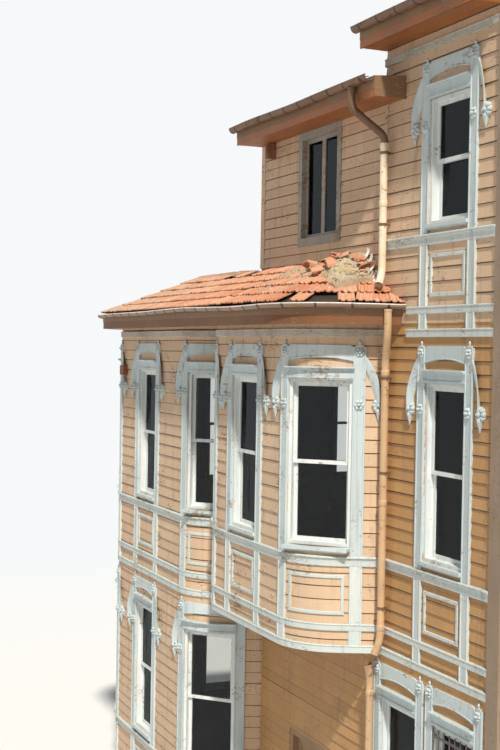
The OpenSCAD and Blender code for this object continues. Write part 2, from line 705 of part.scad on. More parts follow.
// Eaves
skirt_in = skirt_out - fascia_t;
module skirt_plan(o) {
  polygon(concat(back_to_front(run(left_rail_l, o, 0, undef)), run(mid_rail_r, o, 0, undef)));
  x = wall_x(left_rail_l, o);
  translate([x, -1]) square([attic_x - x, house_depth + o + 1]);
}
module skirt_eave() placed() color("#a5682f") {
  translate([0, 0, eave_z]) linear_extrude(soffit_t) skirt_plan(skirt_in);
  translate([0, 0, eave_z - fascia_drop]) linear_extrude(fascia_h + fascia_drop) difference() {
    skirt_plan(skirt_out);
    skirt_plan(skirt_in);
  }
}
module box_eave(x0, x1, out, z) {
  bar(x0, x1, -out + fascia_t, 0, z, z + soffit_t);
  bar(x0, x1, -out, -out + fascia_t, z - fascia_drop, z + fascia_h);
}
module upper_eaves() placed() color("#a5682f") {
  box_eave(attic_x, tower_x + attic_eave_on, attic_out, attic_top_z);
  box_eave(tower_x, party_x, tower_out, tower_top_z);
  on_back_wall() box_eave(-tower_x, -attic_x, attic_out, attic_top_z);
  on_back_wall() box_eave(-party_x, -tower_x, tower_out, tower_top_z);
}

// Half-round gutters
module gutter_profile() {
  r = gutter_w / 2;
  difference() {
    circle(r = r, $fn = 32);
    circle(r = r - gutter_t, $fn = 32);
    translate([-r - 1, 0]) square([gutter_w + 2, r + 1]);
  }
}
module straight_gutter(x0, x1, y, z)
  translate([x0, y - gutter_w / 2 - seat, z]) rotate([90, 0, 90]) linear_extrude(x1 - x0) gutter_profile();
module bow_gutter(r, z) {
  translate([r[0], -bay_reach + r[2], z]) rotate([0, 0, r[1] > 0 ? -90 : -90 - r[3]])
    rotate_extrude(angle = r[3], $fn = 96)
      translate([r[2] + skirt_out + gutter_w / 2 + seat, 0]) gutter_profile();
  p = corner(r, 0, arc_n);
  l = rail_end(r, skirt_out + gutter_w) - arc_len(r) + gutter_w;
  difference() {
    translate([p[0], p[1], 0]) rotate([0, 0, r[1] * r[3]])
      straight_gutter(r[1] > 0 ? 0 : -l, r[1] > 0 ? l : 0, -skirt_out, z);
    bar(-far, far, 0, bay_reach, 0, far);
  }
}
module skirt_gutter() placed() color("#b98a62") {
  z = eave_z + fascia_h;
  straight_gutter(left_bay_x0, mid_bay_x1, -bay_reach - skirt_out, z);
  bow_gutter(left_rail_l, z);
  bow_gutter(mid_rail_r, z);
  x = wall_x(left_rail_l, skirt_out);
  translate([x, 0, 0]) rotate([0, 0, -90]) straight_gutter(-house_depth - skirt_out, -gutter_w, 0, z);
  on_back_wall() straight_gutter(-attic_x, -x, -skirt_out, z);
}
module upper_gutters() placed() color("#8a6040") {
  z = fascia_h;
  straight_gutter(attic_x, tower_x + attic_eave_on, -attic_out, attic_top_z + z);
  straight_gutter(tower_x, party_x, -tower_out, tower_top_z + z);
  on_back_wall() straight_gutter(-tower_x, -attic_x, -attic_out, attic_top_z + z);
  on_back_wall() straight_gutter(-party_x, -tower_x, -tower_out, tower_top_z + z);
}

// Tiled skirt roof over the two bays, hipped round their outer corners, falling gently to the rear
skirt_top_z = eave_z + fascia_h + (bay_reach + skirt_in) * skirt_pitch;
module skirt_mass() difference() {
  low = eave_z + soffit_t;
  hull() {
    translate([0, 0, low]) linear_extrude(fascia_h - soffit_t) skirt_plan(skirt_in);
    bar(ridge_x0, ridge_x1, -2, 0, skirt_top_z - 2, skirt_top_z);
  }
  bar(attic_x, party_x, 0, house_depth + skirt_out, low - 1, skirt_top_z + 1);
}
module skirt_roof() placed() color("#d98a62") skirt_mass();
module low_roof(x0, x1, out, z, x_front) {
  base = z + soffit_t;
  y0 = -out + fascia_t;
  y1 = house_depth + out - fascia_t;
  mid = house_depth / 2;
  rise = (mid - y0) * top_pitch;
  translate([x0, 0, 0]) rotate([90, 0, 90]) linear_extrude(x1 - x0) polygon([
    [y0, base], [0, base], [0, z], [house_depth, z], [house_depth, base],
    [y1, base], [y1, z + fascia_h], [mid, z + fascia_h + rise], [y0, z + fascia_h]
  ]);
  if (x_front > x1) translate([x1, 0, 0]) rotate([90, 0, 90]) linear_extrude(x_front - x1)
    polygon([[y0, base], [0, base], [0, z + fascia_h - y0 * top_pitch], [y0, z + fascia_h]]);
}
module attic_roof() placed() color("#b0643c")
  low_roof(attic_x, tower_x, attic_out, attic_top_z, tower_x + attic_eave_on);
module tower_roof() placed() color("#b0643c")
  low_roof(tower_x, party_x, tower_out, tower_top_z, 0);

// Heap of broken mortar and tiles on the skirt roof, in front of the tower's corner
module roof_rubble() placed() color("#8f7d62") difference() {
  heap_z = skirt_top_z + heap_rise;
  hull() {
    lump(heap_peak_x, heap_peak_x + 180, 160, 20, heap_z);
    lump(heap_x0, heap_x0 + 160, 220, 60, heap_z - 105);
    lump(heap_peak_x - 600, heap_peak_x, heap_reach, heap_reach - 100, heap_z - 330);
    lump(heap_x1 - 80, heap_x1, 150, 30, heap_z - 420);
    lump(heap_x0 + 280, heap_x1 - 80, 450, 10, heap_z - 590);
  }
  translate([0, 0, seat]) skirt_mass();
}

module lump(x0, x1, front, back, z) { bar(x0, x1, -front, -back, z - 10, z); }

// Downpipes: open tubes with ball elbows, clamped to the wall
module pipe_shape(p, d, ball, over) {
  n = len(p) - 1;
  for (i = [0:n - 1]) {
    v = p[i + 1] - p[i];
    translate(p[i]) rotate([0, acos(v[2] / norm(v)), atan2(v[1], v[0])])
      translate([0, 0, i == 0 ? -over : 0])
        cylinder(d = d, h = norm(v) + (i == 0 ? over : 0) + (i == n - 1 ? over : 0), $fn = 32);
  }
  for (i = [1:n - 1]) translate(p[i]) sphere(d = ball, $fn = 32);
}
module pipe_run(p) difference() {
  pipe_shape(p, pipe_d, pipe_d + elbow_out, 0);
  pipe_shape(p, pipe_d - 2 * pipe_t, pipe_d - 2 * pipe_t + elbow_out / 2, 1);
}
pipe_y = -pipe_d / 2 - sill_belt_out - seat;
module clamp(x, z) translate([x, pipe_y, z]) difference() {
  union() {
    cylinder(d = pipe_d + 14, h = clamp_h, $fn = 32);
    bar(-12, 12, 0, -pipe_y - seat, 0, clamp_h);
  }
  translate([0, 0, -1]) cylinder(d = pipe_d - pipe_t, h = clamp_h + 2, $fn = 32);
}
module upper_downpipe() placed() color("#b8824a") {
  x = tower_x + 150;
  y = -attic_out - gutter_w / 2 - seat;
  top = attic_top_z + fascia_h - gutter_w / 2 - seat;
  pipe_run([[tower_x + 30, y, top], [tower_x + 30, y, attic_top_z - 100], [x, pipe_y, attic_top_z - 430],
    [x, pipe_y, skirt_top_z - 200], [x + 90, pipe_y - 90, skirt_top_z - 360]]);
  for (z = [second_z + 2300, second_z + 1400]) clamp(x, z);
}
module lower_downpipe() placed() color("#b8824a") {
  wall = wall_x(mid_rail_r, 0);
  x = wall + 160;
  x2 = wall - 90;
  y = pipe_y - 90;
  // The outlet under the end of the skirt roof's gutter
  outlet_x = wall_x(mid_rail_r, skirt_out + gutter_w / 2) + y / tan(bow_turn);
  outlet_z = eave_z + fascia_h - gutter_w / 2 - seat;
  pipe_run([[outlet_x, y, outlet_z], [outlet_x, y, eave_z - 130],
    [x, pipe_y, eave_z - 470], [x, pipe_y, first_z + 230], [x - 50, pipe_y - 50, first_z + 30]]);
  for (z = [first_z + 600, first_z + 2300, eave_z - 700]) clamp(x, z);
  pipe_run([[x2 + 60, pipe_y - 70, first_z - 120], [x2, pipe_y, first_z - 330], [x2, pipe_y, plinth_h / 3]]);
  for (z = [ground_z + 800, ground_z + 2600]) clamp(x2, z);
}

// Corner boards of the attic block
module corner_boards() placed() color("#c69a6c") {
  bar(attic_x - corner_out, attic_x, -corner_out, corner_w, skirt_top_z + 60, attic_top_z);
  bar(attic_x, attic_x + corner_w, -corner_out, 0, skirt_top_z + 60, attic_top_z);
}

plinth();
first_floor();
second_floor();
upper_ceilings();
left_bay_front();
left_bay_sides();
mid_bay_front();
mid_bay_sides();
street_wall();
tower_front_wall();
attic_front_wall();
attic_side_wall();
tower_side_wall();
end_wall();
back_wall();
upper_back_wall();
party_wall();
left_bay_belts();
mid_bay_belts();
street_belts();
rear_belts();
left_bay_surrounds();
mid_bay_surrounds();
street_surrounds();
rear_surrounds();
left_bay_sashes();
mid_bay_sashes();
street_sashes();
rear_sashes();
attic_casements();
ground_glass();
first_glass();
second_glass();
entrance_door();
skirt_eave();
upper_eaves();
skirt_gutter();
upper_gutters();
skirt_roof();
attic_roof();
tower_roof();
roof_rubble();
upper_downpipe();
lower_downpipe();
corner_boards();
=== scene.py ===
"""The look of the timber town house: siding, trim, carving, tiles, gutters, glass and light."""
import math
import random

import bmesh
import bpy
from mathutils import Matrix, Vector, noise


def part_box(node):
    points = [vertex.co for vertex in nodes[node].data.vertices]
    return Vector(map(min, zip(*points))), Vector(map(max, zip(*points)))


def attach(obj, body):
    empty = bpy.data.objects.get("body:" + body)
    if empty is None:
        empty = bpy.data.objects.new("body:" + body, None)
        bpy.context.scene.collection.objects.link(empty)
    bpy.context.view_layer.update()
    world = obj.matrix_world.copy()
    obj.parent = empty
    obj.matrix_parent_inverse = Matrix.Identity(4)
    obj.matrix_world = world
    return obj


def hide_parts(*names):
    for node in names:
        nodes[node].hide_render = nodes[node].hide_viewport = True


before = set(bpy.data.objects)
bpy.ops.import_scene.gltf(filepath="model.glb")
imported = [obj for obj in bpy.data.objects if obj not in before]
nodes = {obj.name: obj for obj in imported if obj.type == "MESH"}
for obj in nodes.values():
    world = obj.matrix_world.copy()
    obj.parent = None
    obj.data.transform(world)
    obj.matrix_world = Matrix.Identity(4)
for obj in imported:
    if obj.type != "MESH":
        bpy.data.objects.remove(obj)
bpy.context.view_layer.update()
UP = Vector((0, 0, 1))

# Places read from the frame, in metres
WALL_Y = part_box("street_wall")[0].y
BACK_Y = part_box("back_wall")[1].y
PARTY_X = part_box("party_wall")[0].x
END_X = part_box("end_wall")[0].x
FRONT_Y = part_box("left_bay_front")[0].y
LEFT_X0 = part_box("left_bay_front")[0].x
LEFT_X1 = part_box("left_bay_front")[1].x
MID_X0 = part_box("mid_bay_front")[0].x
MID_X1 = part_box("mid_bay_front")[1].x
ATTIC_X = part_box("attic_front_wall")[0].x
TOWER_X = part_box("tower_front_wall")[0].x
GROUND_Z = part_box("plinth")[1].z
FIRST_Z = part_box("street_wall")[1].z
STOREY = FIRST_Z - GROUND_Z
SECOND_Z = FIRST_Z + STOREY
EAVE_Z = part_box("left_bay_front")[1].z
ATTIC_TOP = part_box("attic_front_wall")[1].z
TOWER_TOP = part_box("tower_front_wall")[1].z
SKIRT_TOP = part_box("skirt_roof")[1].z

# Bow corners: radius, turn
BOW = (0.80, math.radians(65))
TIGHT = (0.50, math.radians(83))
VALLEY = math.radians(180) - BOW[1] - TIGHT[1]

# Windows: surround, pilasters, the opening's foot over the storey's, its height, and the first one on a bow
WIN_W = 1.22
PILASTER_W = 0.165
PILASTER_OUT = 0.04
OPEN_Z = 1.34
OPEN_H = 2.13
UPPER_OPEN_H = 1.49
BOW_START = 0.02

# Eaves: overhangs, fascias and gutters
SKIRT_OUT = 0.36
FASCIA_T = 0.022
FASCIA_H = 0.23
ATTIC_OUT = 0.45
TOWER_OUT = 0.40
ATTIC_RUN_ON = 0.50
GUTTER_R = 0.055
UPPER_GUTTER_R = 0.070
ROOF_PITCH = 0.08
# How deep the upper roofs' tiles and ridge tiles lie, so that they don't rise over the CAD's roofs
TILE_SINK = 0.075
RIDGE_SINK = 0.090
# How far rims and straps stand out of a gutter
RIM_OUT = 0.005

rng = random.Random(7)


class Path:
    """A straight wall, s metres along it and o metres out of it."""

    def __init__(self, start, along, out):
        self.start = Vector(start)
        self.along = Vector(along)
        self.out = Vector(out)

    def point(self, s, o=0.0, z=0.0):
        return self.start + self.along * s + self.out * o + UP * z

    def normal(self, s):
        return self.out

    def stops(self, s0, s1, step):
        count = max(1, math.ceil((s1 - s0) / step))
        return [s0 + (s1 - s0) * i / count for i in range(count + 1)]


class Rail(Path):
    """A bay's wall from its flat front (s under 0) round one bowed corner to the street wall."""

    def __init__(self, x, side, bow, valley=False):
        self.x = x
        self.side = side
        self.radius, self.turn = bow
        self.arc = self.radius * self.turn
        self.valley = valley

    def angle(self, s):
        return min(max(s, 0.0), self.arc) / self.radius

    def normal(self, s):
        a = self.angle(s)
        return Vector((self.side * math.sin(a), -math.cos(a), 0))

    def tangent(self, s):
        a = self.angle(s)
        return Vector((self.side * math.cos(a), math.sin(a), 0))

    def point(self, s, o=0.0, z=0.0):
        a = self.angle(s)
        base = Vector((self.x, FRONT_Y + self.radius, z)) + self.normal(s) * (self.radius + o)
        return base + self.tangent(s) * (s - a * self.radius)

    def wall_end(self, o=0.0):
        """The distance at which the rail, moved out by o, meets the street wall or the other bay."""
        if self.valley:
            return self.wall_end_plain() - o / math.tan(VALLEY / 2)
        return self.wall_end_plain(o)

    def wall_end_plain(self, o=0.0):
        y = self.point(self.arc, o).y
        return self.arc + (WALL_Y - y) / math.sin(self.turn)

    def end_x(self, o=0.0):
        return self.point(self.wall_end(o), o).x

    def stops(self, s0, s1, step):
        marks = [m for m in (0.0, self.arc) if s0 < m < s1]
        ends = [s0] + marks + [s1]
        found = [s0]
        for a, b in zip(ends, ends[1:]):
            size = min(step, self.radius * 0.09) if a >= 0 and b <= self.arc + 1e-6 else step
            count = max(1, math.ceil((b - a) / size))
            found += [a + (b - a) * (i + 1) / count for i in range(count)]
        return found


LEFT_L = Rail(LEFT_X0, -1, BOW)
LEFT_R = Rail(LEFT_X1, 1, BOW, valley=True)
MID_L = Rail(MID_X0, -1, TIGHT, valley=True)
MID_R = Rail(MID_X1, 1, BOW)
STREET = Path((0, WALL_Y, 0), (1, 0, 0), (0, -1, 0))
END = Path((END_X, WALL_Y, 0), (0, -1, 0), (-1, 0, 0))
BACK = Path((0, BACK_Y, 0), (-1, 0, 0), (0, 1, 0))
ATTIC_SIDE = Path((ATTIC_X, WALL_Y, 0), (0, -1, 0), (-1, 0, 0))
DEPTH = BACK_Y - WALL_Y


def add_object(name, data):
    made = bpy.data.objects.new(name, data)
    bpy.context.scene.collection.objects.link(made)
    return made


class Shape:
    """Corners and faces of one piece, with a tint for each face."""

    def __init__(self):
        self.verts = []
        self.faces = []
        self.tints = []

    def add(self, verts, faces, tint=0.5):
        base = len(self.verts)
        self.verts += verts
        self.faces += [[i + base for i in face] for face in faces]
        self.tints += [tint] * len(faces)

    def grid(self, rows, tint=0.5, closed=False, caps=False):
        """Faces between rows of points that have the same length."""
        n = len(rows[0])
        wrap = n if closed else n - 1
        faces = []
        for r in range(len(rows) - 1):
            for i in range(wrap):
                j = (i + 1) % n
                faces.append([r * n + i, r * n + j, (r + 1) * n + j, (r + 1) * n + i])
        if caps:
            faces.append(list(range(n - 1, -1, -1)))
            faces.append([(len(rows) - 1) * n + i for i in range(n)])
        self.add([p for row in rows for p in row], faces, tint)

    def build(self, name, material, slot, bevel=0.0, smooth=False, replaces=()):
        mesh = bpy.data.meshes.new(name)
        mesh.from_pydata([tuple(v) for v in self.verts], [], self.faces)
        work = bmesh.new()
        work.from_mesh(mesh)
        bmesh.ops.recalc_face_normals(work, faces=work.faces)
        work.to_mesh(mesh)
        work.free()
        tint = mesh.attributes.new("tint", "FLOAT", "FACE")
        tint.data.foreach_set("value", self.tints)
        mesh.materials.append(material)
        if smooth:
            mesh.polygons.foreach_set("use_smooth", [True] * len(mesh.polygons))
        piece = add_object(name, mesh)
        if bevel:
            add_bevel(piece, bevel)
        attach(piece, "root")
        if replaces:
            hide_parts(*replaces)
        return piece


def add_bevel(piece, width, segments=2):
    bevel = piece.modifiers.new("edges", "BEVEL")
    bevel.width = width
    bevel.segments = segments
    bevel.limit_method = "ANGLE"
    bevel.angle_limit = math.radians(40)


class Place:
    """A local frame on a wall: x to the right seen from outside, o outwards, z up."""

    def __init__(self, origin, x_axis):
        self.origin = Vector(origin)
        self.x_axis = Vector(x_axis).normalized()
        self.out = self.x_axis.cross(UP)

    def at(self, x, o, z):
        return self.origin + self.x_axis * x + self.out * o + UP * z


def block(shape, place, x0, x1, o0, o1, z0, z1, tint=0.5):
    corners = [place.at(x, o, z) for z in (z0, z1) for o in (o0, o1) for x in (x0, x1)]
    faces = [[0, 1, 3, 2], [4, 6, 7, 5], [0, 4, 5, 1], [2, 3, 7, 6], [0, 2, 6, 4], [1, 5, 7, 3]]
    shape.add(corners, faces, tint)


def prism(shape, place, outline, o0, o1, tint=0.5):
    """An outline of (x, z) points pushed out from o0 to o1."""
    back = [place.at(x, o0, z) for x, z in outline]
    front = [place.at(x, o1, z) for x, z in outline]
    shape.grid([back, front], tint, closed=True, caps=True)


def sweep(shape, path, s0, s1, profile, step=0.5, tint=0.5, wave=0.0):
    """A closed profile of (o, z) points carried along a wall; with no s1 it runs to the wall's end."""
    ends = [path.wall_end(o) for o, z in profile] if s1 is None else None
    rows = []
    for s in path.stops(s0, s1 if ends is None else min(ends) - 0.003, step):
        lift = wave * noise.noise(path.point(s) * 0.9)
        rows.append([path.point(s, o, z + lift) for o, z in profile])
    if ends:
        rows.append([path.point(e, o, z + lift) for e, (o, z) in zip(ends, profile)])
    shape.grid(rows, tint, closed=True, caps=True)


def ring(count):
    """Angles evenly spaced round a full turn."""
    return [2 * math.pi * k / count for k in range(count)]


def tube(shape, points, radius, sides=16, tint=0.5, caps=True):
    """A round tube through points; radius is a number or one for each point."""
    rows = []
    ref = None
    for i, p in enumerate(points):
        a = points[max(i - 1, 0)]
        b = points[min(i + 1, len(points) - 1)]
        d = (b - a).normalized()
        if ref is None:
            ref = d.orthogonal().normalized()
        ref = (ref - d * ref.dot(d)).normalized()
        side = d.cross(ref)
        r = radius[i] if isinstance(radius, (list, tuple)) else radius
        rows.append([p + ref * (r * math.cos(t)) + side * (r * math.sin(t)) for t in ring(sides)])
    shape.grid(rows, tint, closed=True, caps=caps)


def between(a, b, count):
    """Evenly spaced points from a to b, both included."""
    return [a + (b - a) * (i / count) for i in range(count + 1)]


def walk(points, spacing, offset):
    """Evenly spaced places on a broken line, each as its segment's number and a share of that segment."""
    travelled = offset
    for i, (a, b) in enumerate(zip(points, points[1:])):
        gap = (b - a).length
        while travelled < gap:
            yield i, travelled / gap
            travelled += spacing
        travelled -= gap


# Materials

class Look:
    """A small helper that makes one node material."""

    def __init__(self, name):
        self.material = bpy.data.materials.new(name)
        self.material.use_nodes = True
        self.tree = self.material.node_tree
        self.shader = self.tree.nodes["Principled BSDF"]
        coords = self.tree.nodes.new("ShaderNodeTexCoord")
        self.coords = coords.outputs["Object"]

    def link(self, value, socket):
        if isinstance(value, bpy.types.NodeSocket):
            self.tree.links.new(value, socket)
        elif isinstance(value, (tuple, list)) and len(value) == 3 and socket.type == "RGBA":
            socket.default_value = (*value, 1)
        else:
            socket.default_value = value

    def stretched(self, x, y, z):
        node = self.tree.nodes.new("ShaderNodeMapping")
        self.link(self.coords, node.inputs["Vector"])
        node.inputs["Scale"].default_value = (x, y, z)
        return node.outputs["Vector"]

    def noise(self, scale, detail=4, roughness=0.6, vector=None, distortion=0.0):
        node = self.tree.nodes.new("ShaderNodeTexNoise")
        self.link(vector or self.coords, node.inputs["Vector"])
        node.inputs["Scale"].default_value = scale
        node.inputs["Detail"].default_value = detail
        node.inputs["Roughness"].default_value = roughness
        node.inputs["Distortion"].default_value = distortion
        return node.outputs["Fac"]

    def tint(self):
        node = self.tree.nodes.new("ShaderNodeAttribute")
        node.attribute_name = "tint"
        return node.outputs["Fac"]

    def ramp(self, value, low, high, a=0.0, b=1.0):
        node = self.tree.nodes.new("ShaderNodeMapRange")
        node.clamp = True
        names = ("Value", "From Min", "From Max", "To Min", "To Max")
        for name, v in zip(names, (value, low, high, a, b)):
            self.link(v, node.inputs[name])
        return node.outputs["Result"]

    def math(self, operation, a, b=0.0):
        node = self.tree.nodes.new("ShaderNodeMath")
        node.operation = operation
        self.link(a, node.inputs[0])
        self.link(b, node.inputs[1])
        return node.outputs[0]

    def mix(self, fac, a, b):
        node = self.tree.nodes.new("ShaderNodeMix")
        node.data_type = "RGBA"
        self.link(fac, node.inputs[0])
        self.link(a, node.inputs[6])
        self.link(b, node.inputs[7])
        return node.outputs[2]

    def bump(self, height, distance, strength):
        node = self.tree.nodes.new("ShaderNodeBump")
        node.inputs["Distance"].default_value = distance
        node.inputs["Strength"].default_value = strength
        self.link(height, node.inputs["Height"])
        return node.outputs["Normal"]

    def finish(self, color, roughness, normal=None):
        self.link(color, self.shader.inputs["Base Color"])
        self.link(roughness, self.shader.inputs["Roughness"])
        if normal is not None:
            self.link(normal, self.shader.inputs["Normal"])
        return self.material


def mix_shaders(tree, share, first, second, output="Material Output"):
    """Sends two shaders, mixed by a share of the second, to the output's surface."""
    mixer = tree.nodes.new("ShaderNodeMixShader")
    for source, socket in zip((share, first, second), mixer.inputs):
        tree.links.new(source, socket)
    tree.links.new(mixer.outputs[0], tree.nodes[output].inputs["Surface"])


# How fine the grain is along X, Y and Z on level and on upright boards
HORIZONTAL = (2.0, 2.0, 55.0)
VERTICAL = (45.0, 45.0, 2.0)
# Colour of the strip just under each board's butt: painted shade of the gap under the next board, partly dirt
# in the joint
JOINT_SHADE_AND_DIRT = (0.07, 0.045, 0.03)
GRIME = 0.5


def painted_wood(name, paint, faded, wood, grain, bare, roughness=0.62):
    """Old paint over wood, with streaks of dirt and dark joints that are painted shade under the boards,
    partly dirt: bare is the share of wood that shows.
    """
    look = Look(name)
    fibres = look.noise(1.0, 6, 0.7, look.stretched(*grain))
    broad = look.noise(1.3, 3, 0.5)
    flakes = look.noise(16.0, 9, 0.68, look.stretched(1.0, 1.0, 1.6 if grain is VERTICAL else 3.0), 0.4)
    patches = look.noise(2.2, 4, 0.6)
    wear = look.math("ADD", look.math("MULTIPLY", flakes, 0.6), look.math("MULTIPLY", patches, 0.4))
    edge = 0.60 - bare * 0.28
    peeled = look.ramp(wear, edge, edge + 0.035)
    board = look.mix(look.ramp(look.tint(), 0.0, 1.0), paint, faded)
    board = look.mix(look.ramp(broad, 0.35, 0.7), board, faded)
    streaks = look.noise(1.0, 5, 0.7, look.stretched(9.0, 9.0, 0.7))
    dirt = look.ramp(streaks, 0.52, 0.78, 0.0, GRIME)
    board = look.mix(dirt, board, tuple(c * 0.45 for c in wood))
    dark_wood = tuple(c * 0.65 for c in wood)
    timber = look.mix(look.ramp(fibres, 0.35, 0.65), dark_wood, wood)
    color = look.mix(peeled, board, timber)
    color = look.mix(look.ramp(fibres, 0.58, 0.75, 0.0, 0.35), color, dark_wood)
    # Faces with the joint tint take that colour: painted shade under the next board, partly dirt
    color = look.mix(look.ramp(look.tint(), -0.6, -0.4, 0.9, 0.0), color, JOINT_SHADE_AND_DIRT)
    height = look.math("SUBTRACT", look.math("MULTIPLY", fibres, 0.5), peeled)
    normal = look.bump(height, 0.0035, 0.55)
    return look.finish(color, look.ramp(peeled, 0, 1, roughness, 0.9), normal)


def clay(name):
    """Fired clay with soot and moss, and more lichen towards the roof's left end."""
    look = Look(name)
    broad = look.noise(1.6, 3)
    fine = look.noise(38.0, 8, 0.7)
    split = look.tree.nodes.new("ShaderNodeSeparateXYZ")
    look.link(look.coords, split.inputs[0])
    left = look.ramp(split.outputs["X"], 0.5, -5.5)
    base = look.mix(look.tint(), (0.52, 0.21, 0.11), (0.70, 0.37, 0.23))
    base = look.mix(look.ramp(broad, 0.4, 0.7, 0, 0.6), base, (0.62, 0.33, 0.21))
    base = look.mix(look.math("MULTIPLY", left, 0.45), base, (0.47, 0.37, 0.27))
    start = look.math("SUBTRACT", 0.57, look.math("MULTIPLY", left, 0.07))
    lichen = look.ramp(look.math("SUBTRACT", look.noise(9.0, 8, 0.72), start), 0.0, 0.08, 0.0, 0.8)
    base = look.mix(lichen, base, (0.58, 0.52, 0.40))
    moss = look.ramp(look.noise(13.0, 7, 0.7), 0.62, 0.68, 0.0, 0.8)
    base = look.mix(moss, base, (0.55, 0.45, 0.14))
    soot = look.ramp(look.noise(5.0, 6, 0.7), 0.58, 0.74, 0.0, 0.6)
    base = look.mix(soot, base, (0.17, 0.11, 0.08))
    normal = look.bump(fine, 0.004, 0.6)
    return look.finish(base, 0.88, normal)


def rough_stone(name, light, dark, scale=6.0, distance=0.01, moss=None):
    look = Look(name)
    broad = look.noise(scale * 0.3, 4)
    fine = look.noise(scale * 8, 9, 0.75)
    color = look.mix(look.ramp(broad, 0.35, 0.65), dark, light)
    color = look.mix(look.ramp(fine, 0.4, 0.7, 0, 0.5), color, tuple(c * 0.55 for c in dark))
    if moss:
        color = look.mix(look.ramp(look.noise(5.0, 7, 0.7), 0.53, 0.60, 0.0, 0.7), color, moss)
    return look.finish(color, 0.93, look.bump(fine, distance, 0.8))


def old_metal(name, paint, rust, worn=0.5, roughness=0.5):
    look = Look(name)
    stain = look.ramp(look.noise(7.0, 8, 0.7), 0.62 - worn * 0.15, 0.70 - worn * 0.1)
    broad = look.noise(2.5, 3)
    color = look.mix(look.ramp(broad, 0.35, 0.7), paint, tuple(min(1.0, c * 1.25) for c in paint))
    streaks = look.ramp(look.noise(1.0, 5, 0.7, look.stretched(22.0, 22.0, 1.0)), 0.55, 0.8, 0.0, 0.5)
    color = look.mix(streaks, color, rust)
    color = look.mix(stain, color, rust)
    normal = look.bump(look.noise(60.0, 6, 0.7), 0.0015, 0.5)
    return look.finish(color, look.ramp(stain, 0, 1, roughness, 0.85), normal)


def window_glass(name):
    look = Look(name)
    clear = look.tree.nodes.new("ShaderNodeBsdfTransparent")
    clear.inputs["Color"].default_value = (0.90, 0.91, 0.90, 1)
    gloss = look.tree.nodes.new("ShaderNodeBsdfGlossy")
    gloss.inputs["Roughness"].default_value = 0.04
    gloss.inputs["Color"].default_value = (0.32, 0.35, 0.37, 1)
    look.link(look.bump(look.noise(2.0, 2), 0.01, 0.25), gloss.inputs["Normal"])
    fresnel = look.tree.nodes.new("ShaderNodeFresnel")
    fresnel.inputs["IOR"].default_value = 1.5
    mix_shaders(look.tree, fresnel.outputs[0], clear.outputs[0], gloss.outputs[0])
    return look.material


WOOD = (0.36, 0.25, 0.16)
GREY_WOOD = (0.46, 0.41, 0.34)
# Near-black wood for the boards under the tiles: painted shade
DECK_SHADE_WOOD = (0.05, 0.035, 0.025)
# For each paint: its name, fresh and faded colour, wood, grain and the share of bare wood
PAINTS = {
    "siding": ("peach siding", (0.70, 0.50, 0.33), (0.60, 0.42, 0.27), WOOD, HORIZONTAL, 0.09),
    "ochre": ("ochre siding", (0.56, 0.32, 0.13), (0.46, 0.25, 0.095), WOOD, HORIZONTAL, 0.08),
    "trim_v": ("upright trim", (0.60, 0.68, 0.68), (0.50, 0.58, 0.59), GREY_WOOD, VERTICAL, 0.12),
    "trim_h": ("level trim", (0.66, 0.71, 0.68), (0.55, 0.61, 0.59), GREY_WOOD, HORIZONTAL, 0.13),
    "sash": ("sash paint", (0.76, 0.79, 0.77), (0.66, 0.71, 0.70), GREY_WOOD, VERTICAL, 0.06),
    "grey": ("grey casement paint", (0.27, 0.27, 0.25), (0.36, 0.33, 0.28), WOOD, VERTICAL, 0.25),
    "frieze": ("frieze paint", (0.55, 0.55, 0.48), (0.45, 0.43, 0.36), GREY_WOOD, HORIZONTAL, 0.30),
    "corner": ("corner board paint", (0.66, 0.49, 0.34), (0.56, 0.41, 0.28), WOOD, VERTICAL, 0.15),
    "fascia": ("fascia paint", (0.30, 0.17, 0.085), (0.22, 0.12, 0.06), WOOD, HORIZONTAL, 0.25),
    "eave": ("soffit boards", (0.36, 0.115, 0.025), (0.27, 0.09, 0.02), WOOD, HORIZONTAL, 0.1, 0.5),
    # The skirt's eave takes a darker copy of the soffit colours: painted shade under the skirt
    "skirt_eave": ("skirt soffit boards in painted shade", (0.20, 0.075, 0.022), (0.14, 0.05, 0.015), WOOD, HORIZONTAL, 0.05),
    "inner": ("inner wall boards", (0.14, 0.11, 0.09), (0.10, 0.08, 0.06), WOOD, HORIZONTAL, 0.1),
    "lining": ("window lining", (0.62, 0.54, 0.42), (0.52, 0.45, 0.34), WOOD, VERTICAL, 0.08),
    "floor": ("floor boards", (0.25, 0.16, 0.10), (0.20, 0.13, 0.08), WOOD, HORIZONTAL, 0.2),
    "party": ("party wall boards", (0.32, 0.24, 0.17), (0.26, 0.19, 0.13), WOOD, VERTICAL, 0.2),
    "door": ("door wood", (0.36, 0.22, 0.12), (0.28, 0.17, 0.09), WOOD, VERTICAL, 0.1),
    # The boards under the tiles are near black: painted shade that shows through the holes and gaps in the
    # tiles
    "under": ("boards under the tiles in painted shade", (0.045, 0.032, 0.024), (0.035, 0.025, 0.018), DECK_SHADE_WOOD,
              HORIZONTAL, 0.1),
}
